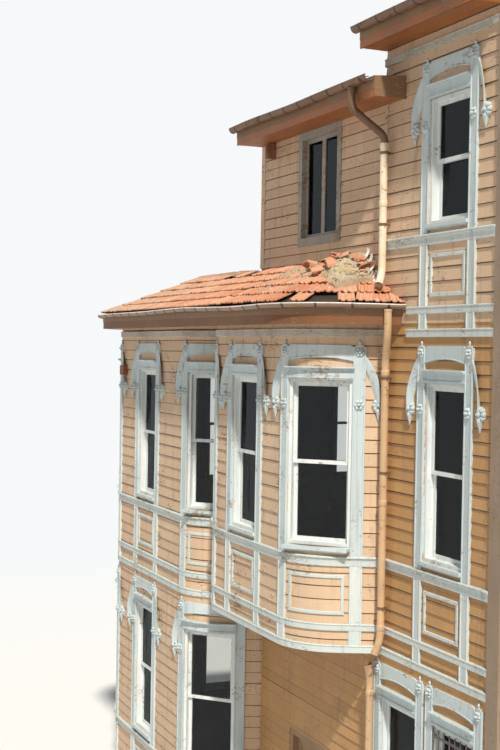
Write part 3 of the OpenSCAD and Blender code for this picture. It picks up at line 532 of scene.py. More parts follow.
# For each metal: its name, paint and rust, then how worn and how rough it is
METALS = {
    "gutter": ("dark brown gutter", (0.15, 0.080, 0.042), (0.10, 0.05, 0.03)),
    "skirt_gutter": ("brown gutter", (0.26, 0.17, 0.11), (0.24, 0.12, 0.06), 0.3),
    "strap": ("dark straps", (0.055, 0.040, 0.032), (0.10, 0.055, 0.035)),
    "rim": ("pale gutter rim", (0.72, 0.66, 0.60), (0.34, 0.20, 0.12), 0.3, 0.4),
    "pipe": ("tan downpipe", (0.52, 0.34, 0.19), (0.28, 0.15, 0.07), 0.3),
    "pale_pipe": ("cream downpipe", (0.72, 0.60, 0.44), (0.44, 0.28, 0.14), 0.25),
    "rust": ("rusty sheet", (0.24, 0.11, 0.065), (0.20, 0.08, 0.04), 1.0, 0.8),
    "flashing": ("torn flashing", (0.80, 0.80, 0.78), (0.45, 0.38, 0.30), 0.2, 0.6),
    "iron": ("iron bars", (0.10, 0.09, 0.09), (0.22, 0.11, 0.06), 0.6, 0.6),
}
M = {
    "tile": clay("clay tiles"),
    "stone": rough_stone("plastered footing", (0.52, 0.50, 0.46), (0.36, 0.34, 0.31)),
    "mortar": rough_stone("broken mortar", (0.68, 0.57, 0.41), (0.47, 0.37, 0.25), 9.0, 0.02,
                          moss=(0.50, 0.38, 0.18)),
    "glass": window_glass("old window glass"),
}
M.update({key: painted_wood(*row) for key, row in PAINTS.items()})
M.update({key: old_metal(*row) for key, row in METALS.items()})


def finish_nodes():
    """Gives the CAD nodes that stay in view their materials and soft edges."""
    plain = {
        "inner": ["left_bay_front", "left_bay_sides", "mid_bay_front", "mid_bay_sides", "attic_front_wall",
                  "attic_side_wall", "end_wall", "back_wall", "upper_back_wall", "street_wall",
                  "tower_front_wall", "tower_side_wall"],
        "floor": ["first_floor", "second_floor", "upper_ceilings"],
        "stone": ["plinth"],
        "party": ["party_wall"],
        "glass": ["ground_glass", "first_glass", "second_glass"],
        "under": ["skirt_roof"],
    }
    edged = {
        "trim_h": ["rear_belts"],
        "trim_v": ["rear_surrounds"],
        "sash": ["left_bay_sashes", "mid_bay_sashes", "street_sashes", "rear_sashes"],
        "grey": ["attic_casements"],
        "door": ["entrance_door"],
        "eave": ["upper_eaves"],
        # The skirt's eave gets the darker copy of the soffit paint, which is painted shade
        "skirt_eave": ["skirt_eave"],
        "corner": ["corner_boards"],
    }
    for table, edge in ((plain, False), (edged, True)):
        for key, names in table.items():
            for name in names:
                node = nodes[name]
                node.data.materials.clear()
                node.data.materials.append(M[key])
                if edge:
                    add_bevel(node, 0.004, 1)


# Siding

# How much of a board shows on the bays and the rear, the tower, and the street wall and attic
BAY_BOARD = 0.17
TOWER_BOARD = 0.165
STREET_BOARD = 0.15
# How far a board stands out at its foot and its top, and where its back lies
BOARD_OUT = 0.017
BOARD_IN = 0.002
BOARD_BACK = -0.004
BOARD_STEP = 0.45
# Height of the strip under the next board that is painted dark as its shade, partly dirt, and the tint that
# marks it for the paint
JOINT_SHADE_H = 0.013
JOINT_SHADE_TINT = -1.0


def siding(shape, path, s0, s1, z0, z1, exposure, holes=()):
    """Clapboards on a wall between s0 and s1, with holes given as (s0, s1, z0, z1)."""
    courses = math.ceil((z1 - z0) / exposure - 0.05)
    for c in range(courses):
        low = z0 + c * exposure
        high = min(low + exposure, z1)
        cuts = sorted({low, high, *[z for h in holes for z in h[2:] if low < z < high]})
        butts = board_ends(s0, s1)
        tints = [rng.random() for _ in butts]
        sag = rng.uniform(-0.003, 0.003)
        for a, b in zip(cuts, cuts[1:]):
            blocked = [h for h in holes if h[2] < (a + b) / 2 < h[3]]
            for k, (p, q) in enumerate(zip(butts, butts[1:])):
                for u, v in free_spans(p + 0.001, q - 0.001, blocked):
                    board(shape, path, u, v, (a, b), (low, low + exposure), sag, tints[k])


def board_ends(s0, s1):
    ends = [s0]
    while s1 - ends[-1] > 4.6:
        ends.append(ends[-1] + rng.uniform(2.2, 4.2))
    if s1 - ends[-1] > 2.6 and rng.random() < 0.5:
        ends.append(ends[-1] + rng.uniform(0.8, 1.8))
    return ends + [s1]


def free_spans(s0, s1, blocked):
    spans = [(s0, s1)]
    for h in blocked:
        parts = [part for a, b in spans for part in ((a, min(b, h[0])), (max(a, h[1]), b))]
        spans = [part for part in parts if part[1] - part[0] > 0.004]
    return spans


def board(shape, path, s0, s1, band, course, sag, tint):
    """One clapboard, or the part of it in a band of heights."""
    def out(z):
        t = (z - course[0]) / (course[1] - course[0])
        return BOARD_OUT + (BOARD_IN - BOARD_OUT) * min(max(t, 0), 1)

    rows = []
    shaded_joint = band[1] == course[1] and band[1] - band[0] > 2 * JOINT_SHADE_H
    mitred = isinstance(path, Rail) and s1 > path.wall_end() - 0.003
    stops = path.stops(s0, s1, BOARD_STEP)
    for s in stops:
        wavy = sag + 0.006 * noise.noise(path.point(s, 0, course[0] * 3) * 0.8)
        warp = 0.003 * noise.noise(path.point(s, 0, course[0] * 5 + 7) * 1.7)
        low = band[0] + (wavy if band[0] == course[0] else 0)
        high = band[1] + (wavy if band[1] == course[1] else 0)
        levels = [low, high - JOINT_SHADE_H, high] if shaded_joint else [low, high]
        spots = [(BOARD_BACK, low), *[(out(z) + warp, z) for z in levels], (BOARD_BACK, high)]
        last = mitred and s == stops[-1]
        rows.append([path.point(path.wall_end(o) if last else s, o, z) for o, z in spots])
    first = len(shape.tints)
    shape.grid(rows, tint, closed=True, caps=True)
    # The strip under the next board's butt takes the joint tint: painted shade, partly dirt
    if shaded_joint:
        for r in range(len(rows) - 1):
            shape.tints[first + r * len(rows[0]) + 2] = JOINT_SHADE_TINT


def window_hole(window):
    """The hole that a window makes in the siding."""
    path, s, z, height = window[:4]
    return (s + PILASTER_W, s + WIN_W - PILASTER_W, z + OPEN_Z, z + OPEN_Z + height)


# Where each window's surround begins, as its wall and the distance along it
LEFT_WINDOWS = [(LEFT_L, BOW_START), (LEFT_R, -2.33), (LEFT_R, BOW_START)]
MID_WINDOWS = [(MID_L, BOW_START), (MID_R, -1.83), (MID_R, BOW_START)]
TOWER_WIN_S = 3.43
GROUND_WIN_S = (2.48, 3.76)
END_WIN_S = (-1.955, -4.665)
BACK_WIN_S = (-4.70, -1.90, 1.10, 4.00)


def lower_and_upper(pairs):
    return [(path, s, z, OPEN_H) for z in (GROUND_Z, FIRST_Z) for path, s in pairs]


WINDOWS = {
    "left_bay": lower_and_upper(LEFT_WINDOWS),
    "mid_bay": [(path, s, FIRST_Z, OPEN_H) for path, s in MID_WINDOWS],
    "street": [(STREET, s, GROUND_Z, OPEN_H) for s in GROUND_WIN_S]
    + [(STREET, TOWER_WIN_S, FIRST_Z, OPEN_H), (STREET, TOWER_WIN_S, SECOND_Z, UPPER_OPEN_H)],
    "rear": lower_and_upper([(END, s) for s in END_WIN_S]) + lower_and_upper([(BACK, s) for s in BACK_WIN_S])
    + [(BACK, BACK_WIN_S[0], SECOND_Z, UPPER_OPEN_H)],
}
# The attic windows' width, height and foot
ATTIC_HOLE = (1.20, 1.49, SECOND_Z + 1.39)
DOOR_MID = 0.56
DOOR_W = 1.30
DOOR_X = (DOOR_MID - DOOR_W / 2, DOOR_MID + DOOR_W / 2)
DOOR_TOP = GROUND_Z + 2.35


def holes_on(path):
    return [window_hole(w) for group in WINDOWS.values() for w in group if w[0] is path]


def attic_hole(s):
    return (s, s + ATTIC_HOLE[0], ATTIC_HOLE[2], ATTIC_HOLE[2] + ATTIC_HOLE[1])


def make_siding():
    door = (*DOOR_X, GROUND_Z, DOOR_TOP)
    bays = ((LEFT_L, 0.0, GROUND_Z), (LEFT_R, LEFT_X0 - LEFT_X1, GROUND_Z), (MID_L, 0.0, FIRST_Z),
            (MID_R, MID_X0 - MID_X1, FIRST_Z))
    tower_side = Path((TOWER_X, WALL_Y, 0), (0, -1, 0), (-1, 0, 0))
    walls = {
        "bay": [(rail, s, rail.wall_end(), foot, EAVE_Z, BAY_BOARD, holes_on(rail))
                for rail, s, foot in bays],
        "street": [(STREET, LEFT_R.end_x(), PARTY_X, GROUND_Z, FIRST_Z, STREET_BOARD,
                    holes_on(STREET) + [door]),
                   (STREET, MID_R.end_x(), PARTY_X, FIRST_Z, EAVE_Z, STREET_BOARD, holes_on(STREET))],
        "tower": [(STREET, TOWER_X, PARTY_X, EAVE_Z, TOWER_TOP, TOWER_BOARD, holes_on(STREET)),
                  (tower_side, -DEPTH, 0, ATTIC_TOP, TOWER_TOP, TOWER_BOARD)],
        "attic": [(STREET, ATTIC_X, TOWER_X, EAVE_Z, ATTIC_TOP, STREET_BOARD, [attic_hole(-0.02)]),
                  (ATTIC_SIDE, -DEPTH, 0, EAVE_Z, ATTIC_TOP, STREET_BOARD, [attic_hole(-1.5)])],
        "rear": [(END, -DEPTH, 0, GROUND_Z, EAVE_Z, BAY_BOARD, holes_on(END)),
                 (BACK, -PARTY_X, -END_X, GROUND_Z, EAVE_Z, BAY_BOARD, holes_on(BACK)),
                 (BACK, -TOWER_X, -ATTIC_X, EAVE_Z, ATTIC_TOP, BAY_BOARD, [attic_hole(-1.9)]),
                 (BACK, -PARTY_X, -TOWER_X, EAVE_Z, TOWER_TOP, BAY_BOARD, holes_on(BACK))],
    }
    for name, runs in walls.items():
        shape = Shape()
        for run in runs:
            siding(shape, *run)
        slot = "clapboard_ochre" if name in ("street", "tower") else "clapboard"
        shape.build(name + "_siding", M["ochre" if name == "street" else "siding"], slot)
        if name == "tower":
            make_corner_board()


def make_corner_board():
    corner = Shape()
    upright(corner, STREET, TOWER_X, 0.07, SKIRT_TOP + 0.08, ATTIC_TOP, 0.024, 0.0)
    corner.build("tower_corner_board", M["corner"], "corner_paint", TRIM_EDGE)


# Trim

BELT_OUT = 0.045
SILL_OUT = 0.060
# How far trim reaches into the wall, and the width of its softened edges
SUNK = 0.006
TRIM_EDGE = 0.002
BEAD = 0.022
# Heights over a storey's foot: the low board, the band, the sill belt and the panel frame; the tower's frieze
# has its heights from the wall's top
LOW_BELT = (0.0, 0.10)
BAND = (0.28, 0.37)
SILL_BELT = (1.10, 1.23)
TOWER_FRIEZE = (-0.22, -0.12)
PANEL = (0.48, 0.99)
BELT_WAVE = 0.004
PANEL_BAR = 0.045
PANEL_GAP = 0.06
# Step of trim that follows a bow closely
FINE_STEP = 0.1


def turned(centre_o, centre_z, r, first, last, sides):
    """Points of an arc about a centre, between two angles."""
    turns = [first + (last - first) * i / sides for i in range(sides + 1)]
    return [(centre_o + r * math.cos(a), centre_z + r * math.sin(a)) for a in turns]


def backed(*front):
    """A closed profile from the points of its front, with its back just inside the wall."""
    return [(-SUNK, front[0][1]), *front, (-SUNK, front[-1][1])]


def belt_profile(out, z0, z1):
    """A flat board with a bead along its top edge."""
    r = BEAD / 2
    nose = turned(out - r, z1 - r, r, -math.pi / 2, math.pi / 2, 5)
    return backed((out - 0.012, z0), (out - 0.008, z0 + 0.006), (out - 0.008, z1 - BEAD), *nose)


def sill_belt_profile(z):
    """A storey's moulded belt: fascia, cove and a rounded nose."""
    z0, z1 = z + SILL_BELT[0], z + SILL_BELT[1]
    r = 0.016
    nose = turned(SILL_OUT - r, z1 - r, r, -math.pi / 2, math.pi / 2, 5)
    turns = [t * math.pi / 2 for t in (0, 0.35, 0.7, 1.0)]
    cove = [(0.036 + 0.018 * (1 - math.cos(a)), z1 - 0.075 + 0.043 * math.sin(a)) for a in turns]
    return backed((0.030, z0), (0.036, z0 + 0.008), *cove, *nose)


def low_belts(shape, path, s0, s1, z):
    for z0, z1 in (LOW_BELT, BAND):
        sweep(shape, path, s0, s1, belt_profile(BELT_OUT, z + z0, z + z1), tint=rng.random(), wave=BELT_WAVE)


def storey_belts(shape, path, s0, s1, z):
    low_belts(shape, path, s0, s1, z)
    sweep(shape, path, s0, s1, sill_belt_profile(z), tint=rng.random(), wave=BELT_WAVE)


def upright(shape, path, s0, width, z0, z1, out, recess=0.008, tint=0.5):
    """A moulded upright board on a wall, between two heights."""
    e = min(0.022, width * 0.2)
    half = [(0, -SUNK), (0, out - 0.006), (0.005, out), (e, out), (e + 0.006, out - recess)]
    outline = half + [(width - s, o) for s, o in half[::-1]]
    count = max(1, round((z1 - z0) / 0.4))
    rows = []
    for i in range(count + 1):
        z = z0 + (z1 - z0) * i / count
        drift = 0.003 * noise.noise(path.point(s0, 0, z) * 1.3)
        rows.append([path.point(s0 + s + drift, o, z) for s, o in outline])
    shape.grid(rows, tint, closed=True, caps=True)


def apron(shape, path, s, z):
    """Lower pilasters and the panel frame under a window."""
    for s0 in (s, s + WIN_W - PILASTER_W):
        for low, high in ((LOW_BELT[1], BAND[0]), (BAND[1], SILL_BELT[0])):
            upright(shape, path, s0, PILASTER_W, z + low, z + high, PILASTER_OUT, tint=rng.random())
    inset = PILASTER_W + PANEL_GAP
    f0, f1 = s + inset, s + WIN_W - inset
    z0, z1 = z + PANEL[0], z + PANEL[1]
    for a, b in ((z0, z0 + PANEL_BAR), (z1 - PANEL_BAR, z1)):
        bar = backed((0.022, a), (0.028, a + 0.006), (0.028, b - 0.006), (0.022, b))
        sweep(shape, path, f0, f1, bar, tint=rng.random())
    for a in (f0, f1 - PANEL_BAR):
        upright(shape, path, a, PANEL_BAR, z0 + PANEL_BAR, z1 - PANEL_BAR, 0.028, 0.0, rng.random())


class Opening:
    """A window's place: its wall, its chord between the pilasters and its heights."""

    def __init__(self, path, s, z, height):
        self.path, self.s, self.z, self.height = path, s, z, height
        a = path.point(s + PILASTER_W)
        b = path.point(s + WIN_W - PILASTER_W)
        flipped = isinstance(path, Rail) and path.side < 0
        self.left, self.right = (b, a) if flipped else (a, b)
        self.width = (b - a).length
        self.place = Place(self.left, self.right - self.left)
        self.bulge = (path.point(s + WIN_W / 2) - (a + b) / 2).length
        self.sides = {-1: s + WIN_W, 1: s} if flipped else {-1: s, 1: s + WIN_W}

    def tangent_place(self, s):
        n = self.path.normal(s)
        return Place(self.path.point(s), UP.cross(n))


# Window surrounds: the trim's lap over the pilasters, then hood, lintel, ribbons and carved discs
LAP = 0.015
RIBBON_OUT = 0.165
RIBBON_H = 0.60
HOOD_GAP = 0.095
HOOD_H = 0.21
HOOD_RISE = 0.05
HOOD_OUT = 0.032
SHOULDER_R = 0.07
LINTEL_H = 0.14
RIBBON_W = 0.066
RIBBON_T = 0.011
ROSETTE_R = 0.088
BOSS_R = 0.070
CAP_R = 0.062


def surround(shape, window, carved):
    """Pilasters, sill, lintel and cornice, arched hood, ribbons, rosettes and drops of one window."""
    w = Opening(*window)
    z0 = w.z + OPEN_Z
    top = z0 + w.height
    cornice = top + LINTEL_H
    hood = cornice + HOOD_GAP
    crown = hood + HOOD_H - 0.02
    for s0 in (w.s, w.s + WIN_W - PILASTER_W):
        upright(shape, w.path, s0, PILASTER_W, w.z + SILL_BELT[1], crown, PILASTER_OUT, tint=rng.random())
        cap = w.tangent_place(s0 + PILASTER_W / 2)
        finial(shape, cap, crown)
        rosette(shape, cap, 0.0, hood + HOOD_H - 0.09, CAP_R, PILASTER_OUT - 0.010, 6)
    a, b = w.s + PILASTER_W - LAP, w.s + WIN_W - PILASTER_W + LAP
    sill(shape, w, a, b, z0, rng.random())
    lintel = backed((0.036, top), (0.036, top + 0.018), (0.046, top + 0.018), (0.046, top + 0.036),
                    (0.036, top + 0.036), (0.036, cornice - 0.018), (0.062, cornice - 0.018),
                    (0.062, cornice))
    sweep(shape, w.path, a, b, lintel, FINE_STEP, rng.random())
    drip = backed((0.080, cornice), (0.090, cornice + 0.010), (0.090, cornice + 0.024))
    sweep(shape, w.path, a - 0.005, b + 0.005, drip, FINE_STEP, rng.random())
    hood_board(shape, w.path, a, b, hood, rng.random())
    for side in carved:
        ribbon(shape, w, side, hood + HOOD_RISE)


def sill(shape, w, a, b, z, tint):
    """A sill: straight across the bulge on right-hand bows, and bent with the wall on left-hand ones."""
    top, middle, low = z - 0.002, z - 0.045, z - 0.065
    lip, apron_out = 0.068, 0.045
    if isinstance(w.path, Rail) and w.path.side < 0:
        bent = backed((apron_out, low), (apron_out, middle), (lip, middle), (lip, top))
        sweep(shape, w.path, a, b, bent, FINE_STEP, tint)
        return
    block(shape, w.place, -LAP, w.width + LAP, -0.01, w.bulge + lip, middle, top, tint)
    block(shape, w.place, 0.01, w.width - 0.01, -0.01, w.bulge + apron_out, low, middle, tint)


def finial(shape, place, z):
    """The thin neck and knob on a pilaster's top."""
    o = 0.022
    block(shape, place, -0.05, 0.05, -0.004, 0.036, z, z + 0.022, 0.4)
    tube(shape, [place.at(0, o, z + h) for h in (0.02, 0.03, 0.042, 0.056, 0.068, 0.080)],
         [0.013, 0.010, 0.017, 0.019, 0.015, 0.004], 10, 0.4)


def hood_board(shape, path, s0, s1, z, tint):
    """A board that follows the wall, with a low arch in its underside, rounded shoulders and a bead."""
    half = (s1 - s0) / 2
    count = 28
    rows, bead = [], []
    for i in range(count + 1):
        t = -math.cos(math.pi * i / count)
        s = s0 + half * (1 + t)
        low = z + HOOD_RISE * max(0.0, 1 - (t / 0.96) ** 2)
        gap = SHOULDER_R - min(half * (1 - abs(t)), SHOULDER_R)
        high = z + HOOD_H - (SHOULDER_R - math.sqrt(SHOULDER_R ** 2 - gap ** 2))
        rows.append([path.point(s, o, h) for o, h in backed((HOOD_OUT, low), (HOOD_OUT, high))])
        bead.append(path.point(s, HOOD_OUT, low + 0.012))
    shape.grid(rows, tint, closed=True, caps=True)
    tube(shape, bead, 0.008, 6, tint)


def ribbon(shape, window, side, top_z):
    """A leaf-like ribbon that twists out of the pilaster to a rosette with a pointed drop."""
    s_edge = window.sides[side]
    step = side * (-1 if window.sides[1] < window.sides[-1] else 1)
    place = window.tangent_place(s_edge + step * RIBBON_OUT * 0.5)
    place = Place(place.origin - place.x_axis * (side * RIBBON_OUT * 0.5), place.x_axis)
    rows = []
    count = 30
    for i in range(count + 1):
        t = i / count
        x = side * RIBBON_OUT * 0.92 * math.sin(math.pi / 2 * (1 - t)) - side * 0.012 * t
        z = top_z - RIBBON_H * (1 - t)
        twist = side * (0.9 * (1 - t) + 0.1)
        wide = RIBBON_W * (0.25 + 0.75 * math.sin(math.pi * min(1.0, 0.12 + 0.88 * t)) ** 0.6)
        slope = math.atan2(side * RIBBON_OUT * math.pi / 2 * math.cos(math.pi / 2 * (1 - t)), RIBBON_H)
        row = []
        for a in ring(10):
            u, v = wide * math.cos(a), RIBBON_T * math.sin(a)
            du = u * math.cos(twist) - v * math.sin(twist)
            do = u * math.sin(twist) + v * math.cos(twist)
            row.append(place.at(x + du * math.cos(slope), 0.036 + do, z + du * math.sin(slope)))
        rows.append(row)
    shape.grid(rows, rng.random(), closed=True, caps=True)
    foot, low = side * RIBBON_OUT, top_z - RIBBON_H
    rosette(shape, place, foot, low, ROSETTE_R, 0.030)
    tube(shape, [place.at(foot, 0.030, low - h) for h in (0.05, 0.075, 0.12, 0.165, 0.21)],
         [0.030, 0.042, 0.028, 0.015, 0.002], 10, 0.4)
    boss = window.tangent_place(s_edge - step * PILASTER_W / 2)
    rosette(shape, boss, 0.0, low, BOSS_R, PILASTER_OUT - 0.006, 6)


def rosette(shape, place, x, z, radius, base, petals=8):
    """A carved flower: a bossed middle and a ring of petals, in rings from its middle to its rim."""
    middle = 0.30
    rings = 9

    def point(r, a):
        lobe = abs(math.cos(petals / 2 * a)) ** 0.5
        reach = r * (0.80 + 0.20 * lobe)
        if r < middle:
            out = base + 0.022 + 0.030 * math.sqrt(max(0.0, 1 - (r / middle) ** 2))
        else:
            swell = math.sin(math.pi * min(1.0, (r - middle) / 0.70)) ** 0.7
            out = base + 0.004 + 0.024 * swell * (0.25 + 0.75 * lobe)
        return place.at(x + reach * radius * math.cos(a), out, z + reach * radius * math.sin(a))

    turns = ring(6 * petals)
    rows = [[point(i / rings, a) for a in turns] for i in range(rings + 1)]
    rows.append([place.at(x + radius * math.cos(a), -0.01, z + radius * math.sin(a)) for a in turns])
    shape.grid(rows, 0.35 + 0.3 * rng.random(), closed=True)


def make_belts():
    runs = {
        "left_bay": [(rail, (LEFT_X0 - LEFT_X1) / 2, None, z) for z in (GROUND_Z, FIRST_Z)
                     for rail in (LEFT_L, LEFT_R)],
        "mid_bay": [(rail, (MID_X0 - MID_X1) / 2, None, FIRST_Z) for rail in (MID_L, MID_R)],
        "street": [(STREET, LEFT_R.end_x(SILL_OUT), DOOR_X[0], GROUND_Z),
                   (STREET, DOOR_X[1], PARTY_X, GROUND_Z),
                   (STREET, MID_R.end_x(SILL_OUT), PARTY_X, FIRST_Z)],
    }
    for group, belts in runs.items():
        shape = Shape()
        for run in belts:
            storey_belts(shape, *run)
        if group == "street":
            low_belts(shape, STREET, MID_R.end_x(SKIRT_OUT + 0.12), PARTY_X, SECOND_Z)
            sweep(shape, STREET, TOWER_X, PARTY_X, sill_belt_profile(SECOND_Z), tint=0.4)
        for path, s, z, _ in WINDOWS[group]:
            apron(shape, path, s, z)
        shape.build(group + "_belts_v", M["trim_h"], "trim_paint", TRIM_EDGE, replaces=[group + "_belts"])


def make_friezes():
    """The weathered top bands of the bays and the tower."""
    shape = Shape()
    band = belt_profile(BELT_OUT, SECOND_Z + LOW_BELT[0], SECOND_Z + LOW_BELT[1])
    for rail in (LEFT_L, LEFT_R):
        sweep(shape, rail, (LEFT_X0 - LEFT_X1) / 2, None, band)
    for rail in (MID_L, MID_R):
        sweep(shape, rail, (MID_X0 - MID_X1) / 2, None, band)
    band = belt_profile(BELT_OUT, TOWER_TOP + TOWER_FRIEZE[0], TOWER_TOP + TOWER_FRIEZE[1])
    sweep(shape, STREET, TOWER_X, PARTY_X, band, tint=0.6)
    shape.build("friezes", M["frieze"], "trim_paint", TRIM_EDGE)


def carved_sides(path, s, z):
    """The carved sides of a window: one in the recess, where both don't fit, none at street level."""
    if path is STREET and z == GROUND_Z:
        return ()
    if path is MID_L:
        return (1,)
    if path is LEFT_R and s > 0:
        return (-1,)
    return (-1, 1)


def make_surrounds():
    for group in ("left_bay", "mid_bay", "street"):
        shape = Shape()
        for window in WINDOWS[group]:
            surround(shape, window, carved_sides(*window[:3]))
        name = group + "_surrounds"
        shape.build(name + "_v", M["trim_v"], "trim_paint", TRIM_EDGE, replaces=[name])


# Eaves and gutters

class Roof:
    """An upper roof: its ends, its overhang, the top of its walls, and how far its front eave runs on."""

    def __init__(self, x0, x1, out, base, run_on=0.0):
        self.x0, self.x1, self.out, self.base = x0, x1, out, base
        self.eave_x1 = x1 + run_on
        self.top = base + FASCIA_H
        self.half = DEPTH / 2 + out - FASCIA_T

    def section(self, low, top):
        """The cross-section between a level underside and two slopes that start at the height top."""
        ridge = (0, top + self.half * ROOF_PITCH)
        return [(-self.half, low), (self.half, low), (self.half, top), ridge, (-self.half, top)]


ATTIC_ROOF = Roof(ATTIC_X, TOWER_X, ATTIC_OUT, ATTIC_TOP, ATTIC_RUN_ON)
TOWER_ROOF = Roof(TOWER_X, PARTY_X, TOWER_OUT, TOWER_TOP)
UPPER_ROOFS = (ATTIC_ROOF, TOWER_ROOF)
# How much the skirt's and the upper gutters sag, the straps' spacing, and a verge board's two faces
SKIRT_SAG = 0.022
UPPER_SAG = 0.016
STRAP_SPACING = 0.45
REAR_SPACING = 0.8
VERGE = (0.001, 0.014)
SOFFIT_W = 0.105
SOFFIT_GAP = 0.006


def eave_line(o, step=0.16, sag=0.0):
    """Points and outward directions of the skirt's eave, from its left end round both bows to the tower."""
    left = [(LEFT_L.point(s, o), LEFT_L.normal(s)) for s in LEFT_L.stops(0, LEFT_L.wall_end(o), step)]
    right = [(MID_R.point(s, o), MID_R.normal(s)) for s in MID_R.stops(0, MID_R.wall_end(o), step)]
    count = math.ceil((MID_X1 - LEFT_X0) / step)
    flat = [(Vector((LEFT_X0 + (MID_X1 - LEFT_X0) * i / count, FRONT_Y - o, 0)), Vector((0, -1, 0)))
            for i in range(1, count)]
    return [(p + UP * sag * (noise.noise(p * 0.45) - 0.2), n) for p, n in left[::-1] + flat + right]


def straight_line(a, b, out, step=0.5, sag=0.0):
    a, b, out = Vector(a), Vector(b), Vector(out)
    points = between(a, b, max(1, math.ceil((b - a).length / step)))
    return [(p + UP * sag * (noise.noise(p * 0.7) - 0.2), out) for p in points]


def carry(shape, line, profile, tint=0.5):
    """A closed profile of (o, z) points carried along a line of points and outward directions."""
    rows = [[p + n * o + UP * z for o, z in profile] for p, n in line]
    shape.grid(rows, tint, closed=True, caps=True)


def gutter_profile(r):
    return turned(0, 0, r, math.pi, 2 * math.pi, 12) + turned(0, 0, r - 0.005, 2 * math.pi, math.pi, 12)


def gutter(shape, rims, straps, line, z, r, spacing=STRAP_SPACING):
    """A half-round gutter with its rolled rim and the straps that hold it, along its middle line."""
    raised = [(p + UP * z, n) for p, n in line]
    carry(shape, raised, gutter_profile(r))
    carry(rims, raised, turned(r - 0.004, 0.002, 0.009, 0, 2 * math.pi, 8)[:-1])
    for i, t in walk([p for p, n in raised], spacing, 0.2):
        (p, n), (q, m) = raised[i:i + 2]
        strap(straps, p + (q - p) * t, (n + (m - n) * t).normalized(), r)


def strap(shape, point, out, r):
    """A band under a gutter and the stay across its top."""
    along = out.cross(UP)
    band = turned(0, 0, r + 0.0045, math.pi, 2 * math.pi, 10)
    band += turned(0, 0, r - 0.001, 2 * math.pi, math.pi, 10)
    stay = [(-r - 0.004, 0.020), (-r - 0.004, 0.014), (r, 0.006), (r, 0.012)]
    for profile, half in ((band, 0.014), (stay, 0.011)):
        rows = [[point + along * w + out * o + UP * z for o, z in profile] for w in (-half, half)]
        shape.grid(rows, 0.3, closed=True, caps=True)


def make_gutters():
    skirt, rims, straps = Shape(), Shape(), Shape()
    z = EAVE_Z + FASCIA_H
    out = SKIRT_OUT + GUTTER_R
    r = GUTTER_R - RIM_OUT
    left_x = LEFT_L.end_x(SKIRT_OUT)
    side_x = left_x - GUTTER_R
    gutter(skirt, rims, straps, eave_line(out, sag=SKIRT_SAG), z, r)
    side = straight_line((side_x, BACK_Y + SKIRT_OUT, 0), (side_x, WALL_Y + 0.11, 0), (-1, 0, 0))
    back = straight_line((ATTIC_X, BACK_Y + out, 0), (left_x, BACK_Y + out, 0), (0, 1, 0))
    for line in (side, back):
        gutter(skirt, rims, straps, line, z, r, REAR_SPACING)
    skirt.build("skirt_gutter_v", M["skirt_gutter"], "gutter_metal", replaces=["skirt_gutter"])
    rims.build("skirt_gutter_rim", M["rim"], "gutter_metal", smooth=True)

    upper, rims = Shape(), Shape()
    for roof in UPPER_ROOFS:
        y = WALL_Y - roof.out - UPPER_GUTTER_R
        line = straight_line((roof.x0, y, 0), (roof.eave_x1, y, 0), (0, -1, 0), 0.3, UPPER_SAG)
        gutter(upper, rims, straps, line, roof.top, UPPER_GUTTER_R)
        y = BACK_Y + roof.out + GUTTER_R
        line = straight_line((roof.x1, y, 0), (roof.x0, y, 0), (0, 1, 0))
        gutter(upper, rims, straps, line, roof.top, r, REAR_SPACING)
    upper.build("upper_gutters_v", M["gutter"], "gutter_metal", replaces=["upper_gutters"])
    rims.build("upper_gutter_rims", M["gutter"], "gutter_metal", smooth=True)
    straps.build("gutter_straps", M["strap"], "gutter_metal")


def verge_boards(shape):
    """Boards over the left ends of the upper roofs, and over the end of the attic's eave before the tower."""
    for roof in UPPER_ROOFS:
        prism(shape, Place((roof.x0, 0, 0), (0, -1, 0)), roof.section(roof.base, roof.top), *VERGE)
    edge, low, top = WALL_Y - ATTIC_OUT, ATTIC_TOP - 0.02, ATTIC_ROOF.top
    outline = [(edge, low), (WALL_Y, low), (WALL_Y, top + ATTIC_OUT * ROOF_PITCH), (edge, top)]
    prism(shape, Place((ATTIC_ROOF.eave_x1, 0, 0), (0, 1, 0)), outline, *VERGE)


def across_eave(depth):
    """The soffit boards of an eave, as their distance from the wall and their width."""
    o = 0.02
    while o < depth - 0.03:
        wide = min(SOFFIT_W, depth - o - 0.003)
        yield o, wide
        o += wide + SOFFIT_GAP


def make_soffit_boards():
    """Boards with open joints under the eaves, running along them."""
    shape = Shape()
    place = Place((0, WALL_Y, 0), (1, 0, 0))
    for roof in UPPER_ROOFS:
        for o, wide in across_eave(roof.out - FASCIA_T):
            joint = rng.uniform(roof.x0 + 1.0, roof.eave_x1 - 1.0)
            for a, b in ((roof.x0, joint - 0.002), (joint + 0.002, roof.eave_x1)):
                low = roof.base - 0.012 - 0.002 * rng.random()
                block(shape, place, a, b, o, o + wide, low, roof.base + 0.004, rng.random())
    line = eave_line(0.0, 0.4)
    for o, wide in across_eave(SKIRT_OUT - FASCIA_T):
        low, high = EAVE_Z - 0.012 - 0.002 * rng.random(), EAVE_Z + 0.004
        carry(shape, line, [(o, low), (o + wide, low), (o + wide, high), (o, high)], rng.random())
    shape.build("soffit_boards", M["eave"], "eave_boards", TRIM_EDGE)


